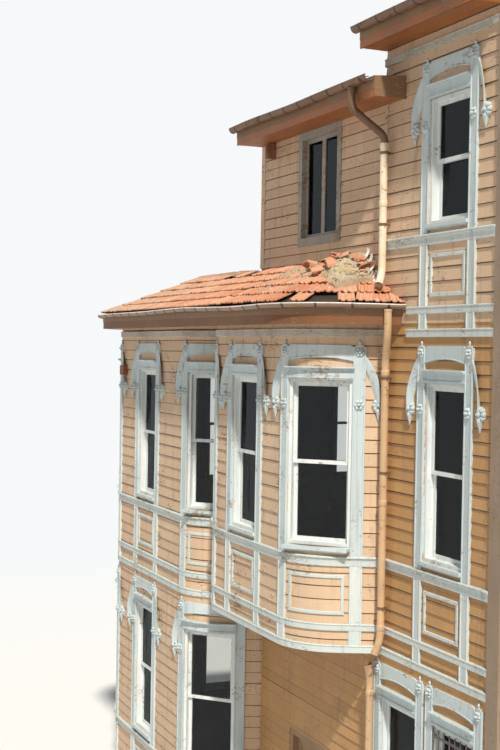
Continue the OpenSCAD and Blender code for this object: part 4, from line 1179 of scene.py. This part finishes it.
def make_fascias():
    """Fascia boards in two lengths with a small step between them, and the verge boards."""
    shape = Shape()
    face = (-0.004, 0.007)
    line = eave_line(SKIRT_OUT, 0.2)
    joint = len(line) // 3
    for part, drop in ((line[:joint + 1], 0.0), (line[joint:], 0.006)):
        low, high = EAVE_Z + 0.10 - drop, EAVE_Z + FASCIA_H - 0.004 - drop
        carry(shape, part, [(face[0], low), (face[1], low), (face[1], high), (face[0], high)], rng.random())
    place = Place((0, WALL_Y, 0), (1, 0, 0))
    for roof in UPPER_ROOFS:
        joint = roof.x0 + 0.6 * (roof.eave_x1 - roof.x0)
        for a, b, drop in ((roof.x0, joint, 0.0), (joint + 0.003, roof.eave_x1, 0.004)):
            low, high = roof.base + 0.085 - drop, roof.top - 0.004 - drop
            block(shape, place, a, b, roof.out + face[0], roof.out + face[1], low, high, rng.random())
    verge_boards(shape)
    shape.build("fascia_boards", M["fascia"], "eave_boards", TRIM_EDGE)


# Tiles

FLAT_W = 0.212
# A flat tile's face, from its left roll to its right edge, as places across it and heights
FLAT_RIBS = [(-0.106, 0.008), (-0.092, 0.030), (-0.074, 0.030), (-0.062, 0.010), (-0.020, 0.008),
             (-0.010, 0.024), (0.010, 0.024), (0.020, 0.008), (0.062, 0.010), (0.074, 0.018), (0.104, 0.018)]
FLAT_T = 0.013
# How high a flat tile's lower and upper ends lie over the line of its course
FLAT_LIFT = (0.034, 0.006)
FLAT_OVERLAP = 1.10
RIDGE_LENGTH = 0.31
RIDGE_T = 0.016
# Where the skirt's ridge starts and ends along X
SKIRT_RIDGE = (-3.9, 1.7)
# Holes in the skirt roof, as x0, x1, z0 and z1, and the share of its tiles that is missing elsewhere
HOLES = [(2.00, 2.22, 8.85, 8.95), (2.48, 2.66, 8.85, 8.95), (-2.45, -1.75, 9.36, 9.6),
         (-1.5, -1.1, 9.36, 9.6)]
LOST = 0.025


def lay_flat_tile(shape, point, across, up, length, tint, loose):
    """One flat tile with a roll at its left edge and a rib along its middle."""
    normal = across.cross(up).normalized()
    if normal.z < 0:
        normal = -normal
    turn = rng.uniform(-1, 1) * (0.012 + loose)
    ax = (across * math.cos(turn) + up * math.sin(turn)).normalized()
    vx = (up * math.cos(turn) - across * math.sin(turn)).normalized()
    rows = []
    for v, lift in zip((0.0, length), FLAT_LIFT):
        outer = [point + ax * x + vx * v + normal * (h + lift) for x, h in FLAT_RIBS]
        rows.append(outer + [p - normal * FLAT_T for p in outer[::-1]])
    shape.grid(rows, tint, closed=True, caps=True)


def flat_roof(shape, eave, ridge, courses, missing=None, loose=0.0, fitted=False):
    """Courses of flat tiles between two lines; fitted ones fill the line and don't alternate."""
    eave_length = sum((b - a).length for a, b in zip(eave, eave[1:]))
    wide = eave_length / round(eave_length / FLAT_W) if fitted else FLAT_W
    for c in range(courses):
        course = [a + (b - a) * (c / courses) for a, b in zip(eave, ridge)]
        upper = [a + (b - a) * ((c + 1) / courses) for a, b in zip(eave, ridge)]
        for i, t in walk(course, wide, wide * (0.5 if c % 2 or fitted else 0.98)):
            point = course[i] + (course[i + 1] - course[i]) * t
            across = (course[i + 1] - course[i]).normalized()
            goal = min(upper, key=lambda q: (q - point).length_squared)
            up = goal - point
            up = up - across * up.dot(across)
            if missing and missing(point):
                continue
            slack = loose * rng.random() ** 3
            spot = point + UP * 0.012 * slack + across * rng.uniform(-0.003, 0.003)
            length = up.length * FLAT_OVERLAP
            lay_flat_tile(shape, spot, across, up.normalized(), length, rng.random(), 0.14 * slack)


def barrel(r):
    """A low arch, from one foot to the other."""
    return [(r * math.cos(math.pi * k / 8), r * 0.75 * math.sin(math.pi * k / 8)) for k in range(9)]


def ridge_tiles(shape, a, b, missing=(0, 0), sink=0.0):
    """Wide barrel tiles bedded along a ridge, without those between two shares of its length."""
    a, b = Vector(a), Vector(b)
    along = (b - a).normalized()
    side = along.cross(UP).normalized()
    up = side.cross(along)
    count = max(1, round((b - a).length / RIDGE_LENGTH))
    for i in range(count):
        if missing[0] < i / count < missing[1]:
            continue
        p = a + (b - a) * (i / count)
        tilt = rng.uniform(-0.05, 0.05)
        rows = []
        for v, r in ((-0.02, 0.115), (0.34, 0.100)):
            outline = barrel(r) + barrel(r - RIDGE_T)[::-1]
            rows.append([p + along * v + side * x + up * (z + v * tilt - sink) for x, z in outline])
        shape.grid(rows, rng.random(), closed=True, caps=True)


def make_roof_decks():
    """Decks that carry the sunk tiles of the upper roofs, and of the attic's eave before the tower."""
    shape = Shape()
    across = Place((0, 0, 0), (0, -1, 0))
    for roof in UPPER_ROOFS:
        prism(shape, across, roof.section(roof.base + 0.02, roof.top - TILE_SINK), -roof.x1, -roof.x0)
    front, wall = -(WALL_Y - ATTIC_OUT + FASCIA_T), -WALL_Y
    low, top = ATTIC_TOP + 0.02, ATTIC_ROOF.top - TILE_SINK
    outline = [(wall, low), (front, low), (front, top), (wall, top + ATTIC_OUT * ROOF_PITCH)]
    prism(shape, across, outline, -ATTIC_ROOF.eave_x1, -TOWER_X)
    # The decks take the near-black boards, painted shade under the tiles
    shape.build("upper_roof_decks", M["under"], "roof_tiles", replaces=["attic_roof", "tower_roof"])


def skirt_front_tiles(z):
    def ridge_under(point):
        return Vector((min(max(point.x, SKIRT_RIDGE[0]), SKIRT_RIDGE[1]), WALL_Y - 0.03, SKIRT_TOP))

    def gone(point):
        in_hole = any(x0 < point.x < x1 and z0 < point.z < z1 for x0, x1, z0, z1 in HOLES)
        return in_hole or rng.random() < LOST

    shape = Shape()
    eave = [p + UP * z for p, n in eave_line(SKIRT_OUT + 0.02, 0.1)]
    flat_roof(shape, eave, [ridge_under(p) for p in eave], 5, gone, 1.0)
    ridge_z = SKIRT_TOP - 0.02
    ridge_tiles(shape, (SKIRT_RIDGE[0] - 0.1, WALL_Y, ridge_z), (ATTIC_X + 0.1, WALL_Y, ridge_z), (0.72, 0.9))
    shape.build("skirt_tiles", M["tile"], "roof_tiles")


def skirt_rear_tiles(z):
    shape = Shape()
    left_x = LEFT_L.end_x(SKIRT_OUT)
    corner = Vector((left_x, BACK_Y + SKIRT_OUT, z))
    apex = Vector((SKIRT_RIDGE[0], WALL_Y, SKIRT_TOP))
    end_eave = between(corner, Vector((left_x, WALL_Y, z)), 30)
    flat_roof(shape, end_eave, [apex] * len(end_eave), 10)
    back_eave = between(Vector((ATTIC_X - 0.06, corner.y, z)), corner, 30)
    back_ridge = [Vector((max(p.x, SKIRT_RIDGE[0]), WALL_Y + 0.1, SKIRT_TOP)) for p in back_eave]
    flat_roof(shape, back_eave, back_ridge, 18)
    ridge_tiles(shape, corner + Vector((0.1, -0.2, 0.03)), apex, sink=0.02)
    shape.build("skirt_tiles_rear", M["tile"], "roof_tiles")


def upper_tiles():
    shape = Shape()
    for roof, x1 in ((ATTIC_ROOF, TOWER_X - 0.06), (TOWER_ROOF, PARTY_X)):
        rise = roof.half * ROOF_PITCH
        low = roof.top - TILE_SINK
        ends = roof.x0 + 0.05, x1 - 0.05
        for y, (first, last) in ((WALL_Y - roof.out, ends), (BACK_Y + roof.out, ends[::-1])):
            line = between(Vector((first, y, low)), Vector((last, y, low)), 20)
            flat_roof(shape, line, [Vector((p.x, 0.0, low + rise)) for p in line], 11, fitted=True)
        ridge_tiles(shape, (roof.x0, 0, roof.top + rise), (x1 - 0.3, 0, roof.top + rise), sink=RIDGE_SINK)
    low = ATTIC_ROOF.top - TILE_SINK
    line = [Vector((TOWER_X + (ATTIC_RUN_ON - 0.05) * i / 6, WALL_Y - ATTIC_OUT, low)) for i in range(7)]
    flat_roof(shape, line, [Vector((p.x, WALL_Y - 0.1, p.z + 0.03)) for p in line], 1, fitted=True)
    shape.build("upper_tiles", M["tile"], "roof_tiles")


# Rubble

RUBBLE_LO, RUBBLE_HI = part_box("roof_rubble")
HEAP_STEPS = (58, 26)
HEAP_PEAK_X = 1.99
# The roof's slope under the heap
HEAP_SLOPE = 0.46
HEAP_LUMPS = 420
SLOPE_LUMPS = 380
SHARDS = 16


def heap_height(x, y):
    """The heap's rough upper face, which falls steeply to the right of its peak and gently to the left."""
    lo, hi = RUBBLE_LO, RUBBLE_HI
    left = x < HEAP_PEAK_X
    roof = SKIRT_TOP + (y - WALL_Y) * HEAP_SLOPE - 0.05
    u = (HEAP_PEAK_X - x) / (HEAP_PEAK_X - lo.x) if left else (x - HEAP_PEAK_X) / (hi.x - HEAP_PEAK_X)
    v = (WALL_Y - y) / (WALL_Y - lo.y)
    top = hi.z - 0.03 - (0.10 * min(u, 1) ** 1.2 if left else 0.40 * u ** 1.1)
    front = max(0.0, 1 - (u * 0.55) ** 2 - v ** 1.7)
    z = roof + (top - roof) * front ** 0.75 if front > 0 else roof - 0.03
    rough = 0.045 * noise.fractal(Vector((x, y, 0)) * 7, 0.9, 2.1, 5)
    rough += 0.012 * noise.noise(Vector((x, y, 3)) * 32)
    return min(z + rough, hi.z)


def make_heap():
    """A heap of mortar: its upper face, the same face sunk under the tiles, and the sides between them."""
    lo, hi = RUBBLE_LO, RUBBLE_HI
    nx, ny = HEAP_STEPS
    xs = [lo.x + (hi.x - lo.x) * i / nx for i in range(nx + 1)]
    ys = [WALL_Y - 0.005 + (lo.y + 0.01 - WALL_Y) * j / ny for j in range(ny + 1)]
    top = [Vector((x, y, heap_height(x, y))) for y in ys for x in xs]
    base = [Vector((p.x, p.y, min(p.z - 0.05, SKIRT_TOP - 0.3 + (p.y - WALL_Y) * HEAP_SLOPE))) for p in top]
    n, m = nx + 1, len(top)
    faces = []
    for a in (j * n + i for j in range(ny) for i in range(nx)):
        faces.append([a, a + 1, a + n + 1, a + n])
        faces.append([m + a, m + a + n, m + a + n + 1, m + a + 1])
    edge = list(range(n)) + [j * n + nx for j in range(1, ny + 1)]
    edge += [ny * n + i for i in range(nx - 1, -1, -1)] + [j * n for j in range(ny - 1, 0, -1)]
    faces += [[a, m + a, m + b, b] for a, b in zip(edge, edge[1:] + edge[:1])]
    shape = Shape()
    shape.add(top + base, faces)
    shape.build("rubble_heap", M["mortar"], "mortar", replaces=["roof_rubble"])


def make_chunks():
    """Lumps on the heap, and down the roof to its left."""
    lo, hi = RUBBLE_LO, RUBBLE_HI
    shape = Shape()
    for _ in range(HEAP_LUMPS):
        x = rng.uniform(lo.x + 0.02, hi.x - 0.05)
        y = WALL_Y - abs(rng.gauss(0, 0.26))
        if y < lo.y + 0.05:
            continue
        size = rng.uniform(0.012, 0.042)
        lump(shape, Vector((x, y, min(heap_height(x, y), hi.z - size))), size, rng.random())
    ridge_y, eave_y = WALL_Y - 0.03, FRONT_Y - SKIRT_OUT
    for _ in range(SLOPE_LUMPS):
        x = rng.uniform(0.25, 1.75)
        y = WALL_Y - 0.15 - abs(rng.gauss(0, 0.36)) * (x + 0.3)
        t = (ridge_y - y) / (ridge_y - eave_y)
        if t > 0.85:
            continue
        z = SKIRT_TOP + (EAVE_Z + FASCIA_H - SKIRT_TOP) * t
        lump(shape, Vector((x, y, z + 0.035)), rng.uniform(0.014, 0.048), rng.random())
    shape.build("rubble_chunks", M["mortar"], "mortar")


def make_shards():
    lo, hi = RUBBLE_LO, RUBBLE_HI
    shape = Shape()
    for _ in range(SHARDS):
        x = rng.uniform(lo.x, hi.x)
        y = WALL_Y - abs(rng.gauss(0.1, 0.3)) - 0.03
        if y < lo.y:
            continue
        a = rng.uniform(0, 2 * math.pi)
        across = Vector((math.cos(a), math.sin(a) * 0.9, rng.uniform(-0.2, 0.5))).normalized()
        up = UP.cross(across).normalized() + UP * rng.uniform(-0.3, 0.4)
        point = Vector((x, y, min(heap_height(x, y) + 0.01, hi.z - 0.08)))
        shard(shape, point, across, up.normalized())
    shape.build("broken_tiles", M["tile"], "roof_tiles")


def lump(shape, centre, size, tint):
    """A rough stone: a squashed ball with uneven corners."""
    sx, sy, sz = [size * rng.uniform(0.6, 1.3) for _ in range(3)]
    rows = []
    for i in range(1, 5):
        a = math.pi * i / 5
        row = []
        for b in ring(7):
            r = rng.uniform(0.78, 1.15)
            x, y = sx * r * math.sin(a) * math.cos(b), sy * r * math.sin(a) * math.sin(b)
            row.append(centre + Vector((x, y, sz * 0.8 * math.cos(a))))
        rows.append(row)
    shape.grid(rows, tint, closed=True, caps=True)


def shard(shape, point, across, up):
    """A bit of a barrel tile."""
    normal = across.cross(up)
    length = rng.uniform(0.08, 0.2)
    first, last = rng.choice(((0, 3), (1, 5), (0, 6), (2, 6)))
    turns = [math.pi * i / 6 for i in range(first, last + 1)]
    rows = []
    for v in (0, length):
        outer = [point + across * (0.08 * math.cos(a)) + normal * (0.06 * math.sin(a)) + up * v
                 for a in turns]
        rows.append(outer + [p - normal * 0.014 for p in outer[::-1]])
    shape.grid(rows, rng.random(), closed=True, caps=True)


# Downpipes

PIPE_R = 0.048
PIPE_WALL = 0.004
PIPE_SIDES = 20
BEND_R = 0.09
COLLAR_H = 0.08
# The pipes run clear of the sill belt
PIPE_Y = WALL_Y - PIPE_R - SILL_OUT - 0.0003


def rounded(points):
    """The points of a pipe's middle line with its corners rounded."""
    steps = 5
    pts = [Vector(p) for p in points]
    out = [pts[0]]
    for a, b, c in zip(pts, pts[1:], pts[2:]):
        d0 = min(BEND_R, (a - b).length * 0.45)
        d1 = min(BEND_R, (c - b).length * 0.45)
        p, q = b + (a - b).normalized() * d0, b + (c - b).normalized() * d1
        for i in range(steps + 1):
            t = i / steps
            out.append(p * (1 - t) ** 2 + b * 2 * t * (1 - t) + q * t ** 2)
    return out + [pts[-1]]


def pipe(shape, points, x=0.0, collars=()):
    """A hollow pipe with a band round each end, and collars at given heights where it runs down at x."""
    line = rounded(points)
    tube(shape, line, PIPE_R, PIPE_SIDES, 0.5, caps=False)
    tube(shape, line[::-1], PIPE_R - PIPE_WALL, PIPE_SIDES, 0.3, caps=False)
    for end, inner in ((line[0], line[1]), (line[-1], line[-2])):
        d = (inner - end).normalized()
        tube(shape, [end, end + d * 0.03], PIPE_R + 0.004, PIPE_SIDES, 0.4, caps=False)
    for z in collars:
        a, b = Vector((x, PIPE_Y, z)), Vector((x, PIPE_Y, z + COLLAR_H))
        stops = [a, a + (b - a) * 0.12, b - (b - a) * 0.12, b]
        tube(shape, stops, [PIPE_R + out for out in (0.001, 0.006, 0.006, 0.001)], PIPE_SIDES, 0.6)


def clamp(shape, x, z):
    """A strap round a pipe, with two ears and a pin into the wall."""
    tube(shape, [Vector((x, PIPE_Y, z)), Vector((x, PIPE_Y, z + 0.034))], PIPE_R + 0.007, PIPE_SIDES, 0.4)
    place = Place((x, PIPE_Y, 0), (1, 0, 0))
    block(shape, place, -0.010, 0.010, PIPE_Y - WALL_Y, -PIPE_R, z + 0.004, z + 0.030, 0.4)
    for side in (-1, 1):
        ear = side * (PIPE_R + 0.002), side * (PIPE_R + 0.026)
        block(shape, place, *ear, -0.008, 0.008, z + 0.002, z + 0.032, 0.4)


def make_upper_pipe(clamps):
    """The attic gutter's pipe: a dark elbow under the eave, and a cream pipe down the tower's corner."""
    elbow, upper = Shape(), Shape()
    x, y = TOWER_X + 0.15, PIPE_Y
    gx, gy = TOWER_X + 0.03, WALL_Y - ATTIC_OUT - UPPER_GUTTER_R
    joint = ATTIC_TOP - 0.56
    pipe(elbow, [(gx, gy, ATTIC_ROOF.top - UPPER_GUTTER_R), (gx, gy, ATTIC_TOP - 0.10),
                 (x, y, ATTIC_TOP - 0.43), (x, y, joint)])
    elbow.build("upper_pipe_elbow", M["gutter"], "pipe_metal", smooth=True)
    pipe(upper, [(x, y, joint), (x, y, joint - 0.1), (x, y, SKIRT_TOP - 0.20),
                 (x + 0.09, y - 0.09, SKIRT_TOP - 0.36)], x, (ATTIC_TOP - 0.60, SKIRT_TOP + 0.62))
    for z in (SECOND_Z + 2.3, SECOND_Z + 1.4):
        clamp(clamps, x, z)
    upper.build("upper_downpipe_v", M["pale_pipe"], "pipe_metal", smooth=True, replaces=["upper_downpipe"])


def make_lower_pipes(clamps):
    """The skirt gutter's pipe, and the one under its broken joint."""
    lower = Shape()
    wall, y = MID_R.end_x(), PIPE_Y
    gx, gy = MID_R.end_x(SKIRT_OUT + GUTTER_R) + (y - 0.09 - WALL_Y) / math.tan(BOW[1]), y - 0.09
    x, x2 = wall + 0.16, wall - 0.09
    pipe(lower, [(gx, gy, EAVE_Z + FASCIA_H - GUTTER_R), (gx, gy, EAVE_Z - 0.13), (x, y, EAVE_Z - 0.47),
                 (x, y, FIRST_Z + 0.23), (x - 0.05, y - 0.05, FIRST_Z + 0.03)],
         x, (EAVE_Z - 0.66, FIRST_Z + 1.9, FIRST_Z + 0.33))
    pipe(lower, [(x2 + 0.06, y - 0.07, FIRST_Z - 0.12), (x2, y, FIRST_Z - 0.33), (x2, y, GROUND_Z / 3)],
         x2, (FIRST_Z - 0.55, GROUND_Z + 1.7))
    for z in (FIRST_Z + 0.6, FIRST_Z + 2.3, EAVE_Z - 0.7):
        clamp(clamps, x, z)
    for z in (GROUND_Z + 0.8, GROUND_Z + 2.6):
        clamp(clamps, x2, z)
    lower.build("lower_downpipe_v", M["pipe"], "pipe_metal", smooth=True, replaces=["lower_downpipe"])


def make_pipes():
    clamps = Shape()
    make_upper_pipe(clamps)
    make_lower_pipes(clamps)
    clamps.build("pipe_clamps", M["gutter"], "pipe_metal", TRIM_EDGE)


# Small pieces

# The linings' thickness, and how far out of the wall's face their front and back lie
LINING_T = 0.018
LINING_FRONT = -0.181
LINING_BACK = -0.30
BARS = 8
BAR_R = 0.009
BAR_OUT = 0.03
FLASHING_BITS = 5


def make_linings():
    """Pale boards that line the window openings behind the sashes."""
    shape = Shape()
    for window in [w for group in WINDOWS.values() for w in group]:
        w = Opening(*window)
        z0, z1 = w.z + OPEN_Z + 0.001, w.z + OPEN_Z + w.height - 0.001
        for x0, x1 in ((0.001, LINING_T), (w.width - LINING_T, w.width - 0.001)):
            block(shape, w.place, x0, x1, LINING_BACK, LINING_FRONT, z0, z1, rng.random())
        for a, b in ((z0, z0 + LINING_T), (z1 - LINING_T, z1)):
            block(shape, w.place, LINING_T, w.width - LINING_T, LINING_BACK, LINING_FRONT, a, b, rng.random())
    shape.build("window_linings", M["lining"], "sash_paint", TRIM_EDGE)


def make_bars():
    """Iron bars before the right ground-floor window."""
    shape = Shape()
    path, s, z, height = WINDOWS["street"][1]
    place = Place(path.point(s + PILASTER_W, 0.0, z + OPEN_Z), (1, 0, 0))
    width = WIN_W - 2 * PILASTER_W
    for i in range(BARS):
        x = 0.03 + (width - 0.06) * i / (BARS - 1)
        tube(shape, [place.at(x, BAR_OUT, 0.02), place.at(x, BAR_OUT, height - 0.02)], BAR_R, 8, 0.5)
    for h in (0.12, height / 2, height - 0.12):
        block(shape, place, -0.01, width + 0.01, BAR_OUT - 0.012, BAR_OUT - 0.004, h - 0.016, h + 0.016)
    shape.build("window_bars", M["iron"], "gutter_metal", 0.001)


def make_boxes():
    """Rusty boxes: one with a lid under the attic's eave, and one on the left bay."""
    shape = Shape()
    place = Place((ATTIC_X, WALL_Y, 0), (1, 0, 0))
    block(shape, place, 0.38, 0.50, 0.017, 0.137, ATTIC_TOP - 0.25, ATTIC_TOP - 0.03)
    block(shape, place, 0.395, 0.485, 0.137, 0.150, ATTIC_TOP - 0.235, ATTIC_TOP - 0.045, 0.2)
    s = LEFT_X0 - LEFT_X1 + 0.12
    place = Place(LEFT_R.point(s), UP.cross(LEFT_R.normal(s)))
    block(shape, place, -0.10, 0.10, 0.01, 0.10, FIRST_Z + 3.35, FIRST_Z + 3.52)
    shape.build("rusty_boxes", M["rust"], "gutter_metal", 0.006)


def make_flashing():
    """Torn white sheet beside the rubble, where the roof meets the tower: bits that lean out and wave."""
    shape = Shape()
    for k in range(FLASHING_BITS):
        x = 2.10 + 0.075 * k + rng.uniform(-0.02, 0.02)
        z = SKIRT_TOP - 0.02 - 0.075 * k
        w, h = rng.uniform(0.06, 0.10), rng.uniform(0.10, 0.20)
        lean = rng.uniform(0.05, 0.14)
        rows = []
        for t in (i / 4 for i in range(5)):
            y = WALL_Y - (0.02 + lean * t * t)
            wave = 0.012 * math.sin(4 * t + k)
            left, right, top = x - w / 2 + wave, x + w / 2 + wave, z + h * (1 - t)
            rows.append([Vector((left, y, top)), Vector((right, y - 0.01 * k / 5, top - 0.02)),
                         Vector((right, y + 0.003, top - 0.02)), Vector((left, y + 0.003, top))])
        shape.grid(rows, 0.5, closed=True, caps=True)
    shape.build("torn_flashing", M["flashing"], "gutter_metal")


# Stage, light and camera

# The camera's place and heading, and the photograph's focal length, horizon and roll in its own frame
EYE = Vector((17.1, -10.7, 8.3))
HEADING = Vector((-0.921, 0.389, 0)).normalized()
IMAGE = (500, 750)
FOCAL_PX = 1300.0
HORIZON_PX = 350.0
HORIZON_TILT = 0.017
SUN_AZIMUTH = math.radians(72)
SUN_HEIGHT = math.radians(50)
SUN_ENERGY = 4.2
WORLD_LIGHT = 0.25
BACKDROP = (0.93, 0.94, 0.95)
FLOOR_HALF = 90.0
# Where the floor starts and ends to fade into the backdrop
FADE = (14.0, 32.0)


def make_camera():
    data = bpy.data.cameras.new("camera")
    data.sensor_width = 36.0
    data.lens = FOCAL_PX / IMAGE[1] * data.sensor_width
    camera = add_object("camera", data)
    pitch = math.atan((IMAGE[1] / 2 - HORIZON_PX) / FOCAL_PX)
    forward = HEADING * math.cos(pitch) - UP * math.sin(pitch)
    right = forward.cross(UP).normalized()
    above = right.cross(forward)
    roll = math.atan(HORIZON_TILT)
    tilted = right * math.cos(roll) + above * math.sin(roll)
    above = tilted.cross(forward)
    camera.rotation_mode = "QUATERNION"
    basis = Matrix((tilted, above, -forward)).transposed()
    camera.rotation_quaternion = basis.to_quaternion()
    camera.location = EYE
    data.clip_end = 400.0
    bpy.context.scene.camera = camera


def make_light():
    """The sun, and a world that lights faintly but shows as the pale backdrop, in glass and metal too."""
    sun = bpy.data.lights.new("sun", "SUN")
    sun.energy = SUN_ENERGY
    sun.angle = math.radians(3)
    sun.color = (1.0, 0.95, 0.87)
    lamp = add_object("sun", sun)
    flat = math.cos(SUN_HEIGHT)
    to_sun = Vector((math.sin(SUN_AZIMUTH) * flat, -math.cos(SUN_AZIMUTH) * flat, math.sin(SUN_HEIGHT)))
    lamp.rotation_mode = "QUATERNION"
    lamp.rotation_quaternion = to_sun.to_track_quat("Z", "Y")
    world = bpy.data.worlds.new("studio")
    bpy.context.scene.world = world
    world.use_nodes = True
    tree = world.node_tree
    light = tree.nodes["Background"]
    light.inputs["Color"].default_value = (0.92, 0.94, 1.0, 1)
    light.inputs["Strength"].default_value = WORLD_LIGHT
    shown = tree.nodes.new("ShaderNodeBackground")
    shown.inputs["Color"].default_value = (*BACKDROP, 1)
    rays = tree.nodes.new("ShaderNodeLightPath")
    seen = rays.outputs["Is Camera Ray"]
    for name in ("Is Glossy Ray", "Is Transmission Ray"):
        either = tree.nodes.new("ShaderNodeMath")
        either.operation = "MAXIMUM"
        tree.links.new(seen, either.inputs[0])
        tree.links.new(rays.outputs[name], either.inputs[1])
        seen = either.outputs[0]
    mix_shaders(tree, seen, light.outputs[0], shown.outputs[0], "World Output")


def make_floor():
    """A pale floor that fades into the backdrop far from the house."""
    look = Look("pale floor")
    look.finish((0.80, 0.80, 0.79), 0.9)
    distance = look.tree.nodes.new("ShaderNodeVectorMath")
    distance.operation = "LENGTH"
    look.link(look.coords, distance.inputs[0])
    rays = look.tree.nodes.new("ShaderNodeLightPath")
    glow = look.tree.nodes.new("ShaderNodeEmission")
    look.link(BACKDROP, glow.inputs["Color"])
    far = look.ramp(distance.outputs["Value"], *FADE)
    share = look.math("MULTIPLY", far, rays.outputs["Is Camera Ray"])
    mix_shaders(look.tree, share, look.shader.outputs[0], glow.outputs[0])
    mesh = bpy.data.meshes.new("floor")
    r = FLOOR_HALF
    mesh.from_pydata([(-r, -r, 0), (r, -r, 0), (r, r, 0), (-r, r, 0)], [], [[0, 1, 2, 3]])
    mesh.materials.append(look.material)
    floor = add_object("floor", mesh)


bpy.context.scene.view_settings.view_transform = "Standard"
finish_nodes()
make_siding()
make_belts()
make_friezes()
make_surrounds()
make_soffit_boards()
make_fascias()
make_gutters()
make_roof_decks()
skirt_front_tiles(EAVE_Z + FASCIA_H)
skirt_rear_tiles(EAVE_Z + FASCIA_H)
upper_tiles()
make_heap()
make_chunks()
make_shards()
make_pipes()
make_linings()
make_bars()
make_boxes()
make_flashing()
make_camera()
make_light()
make_floor()
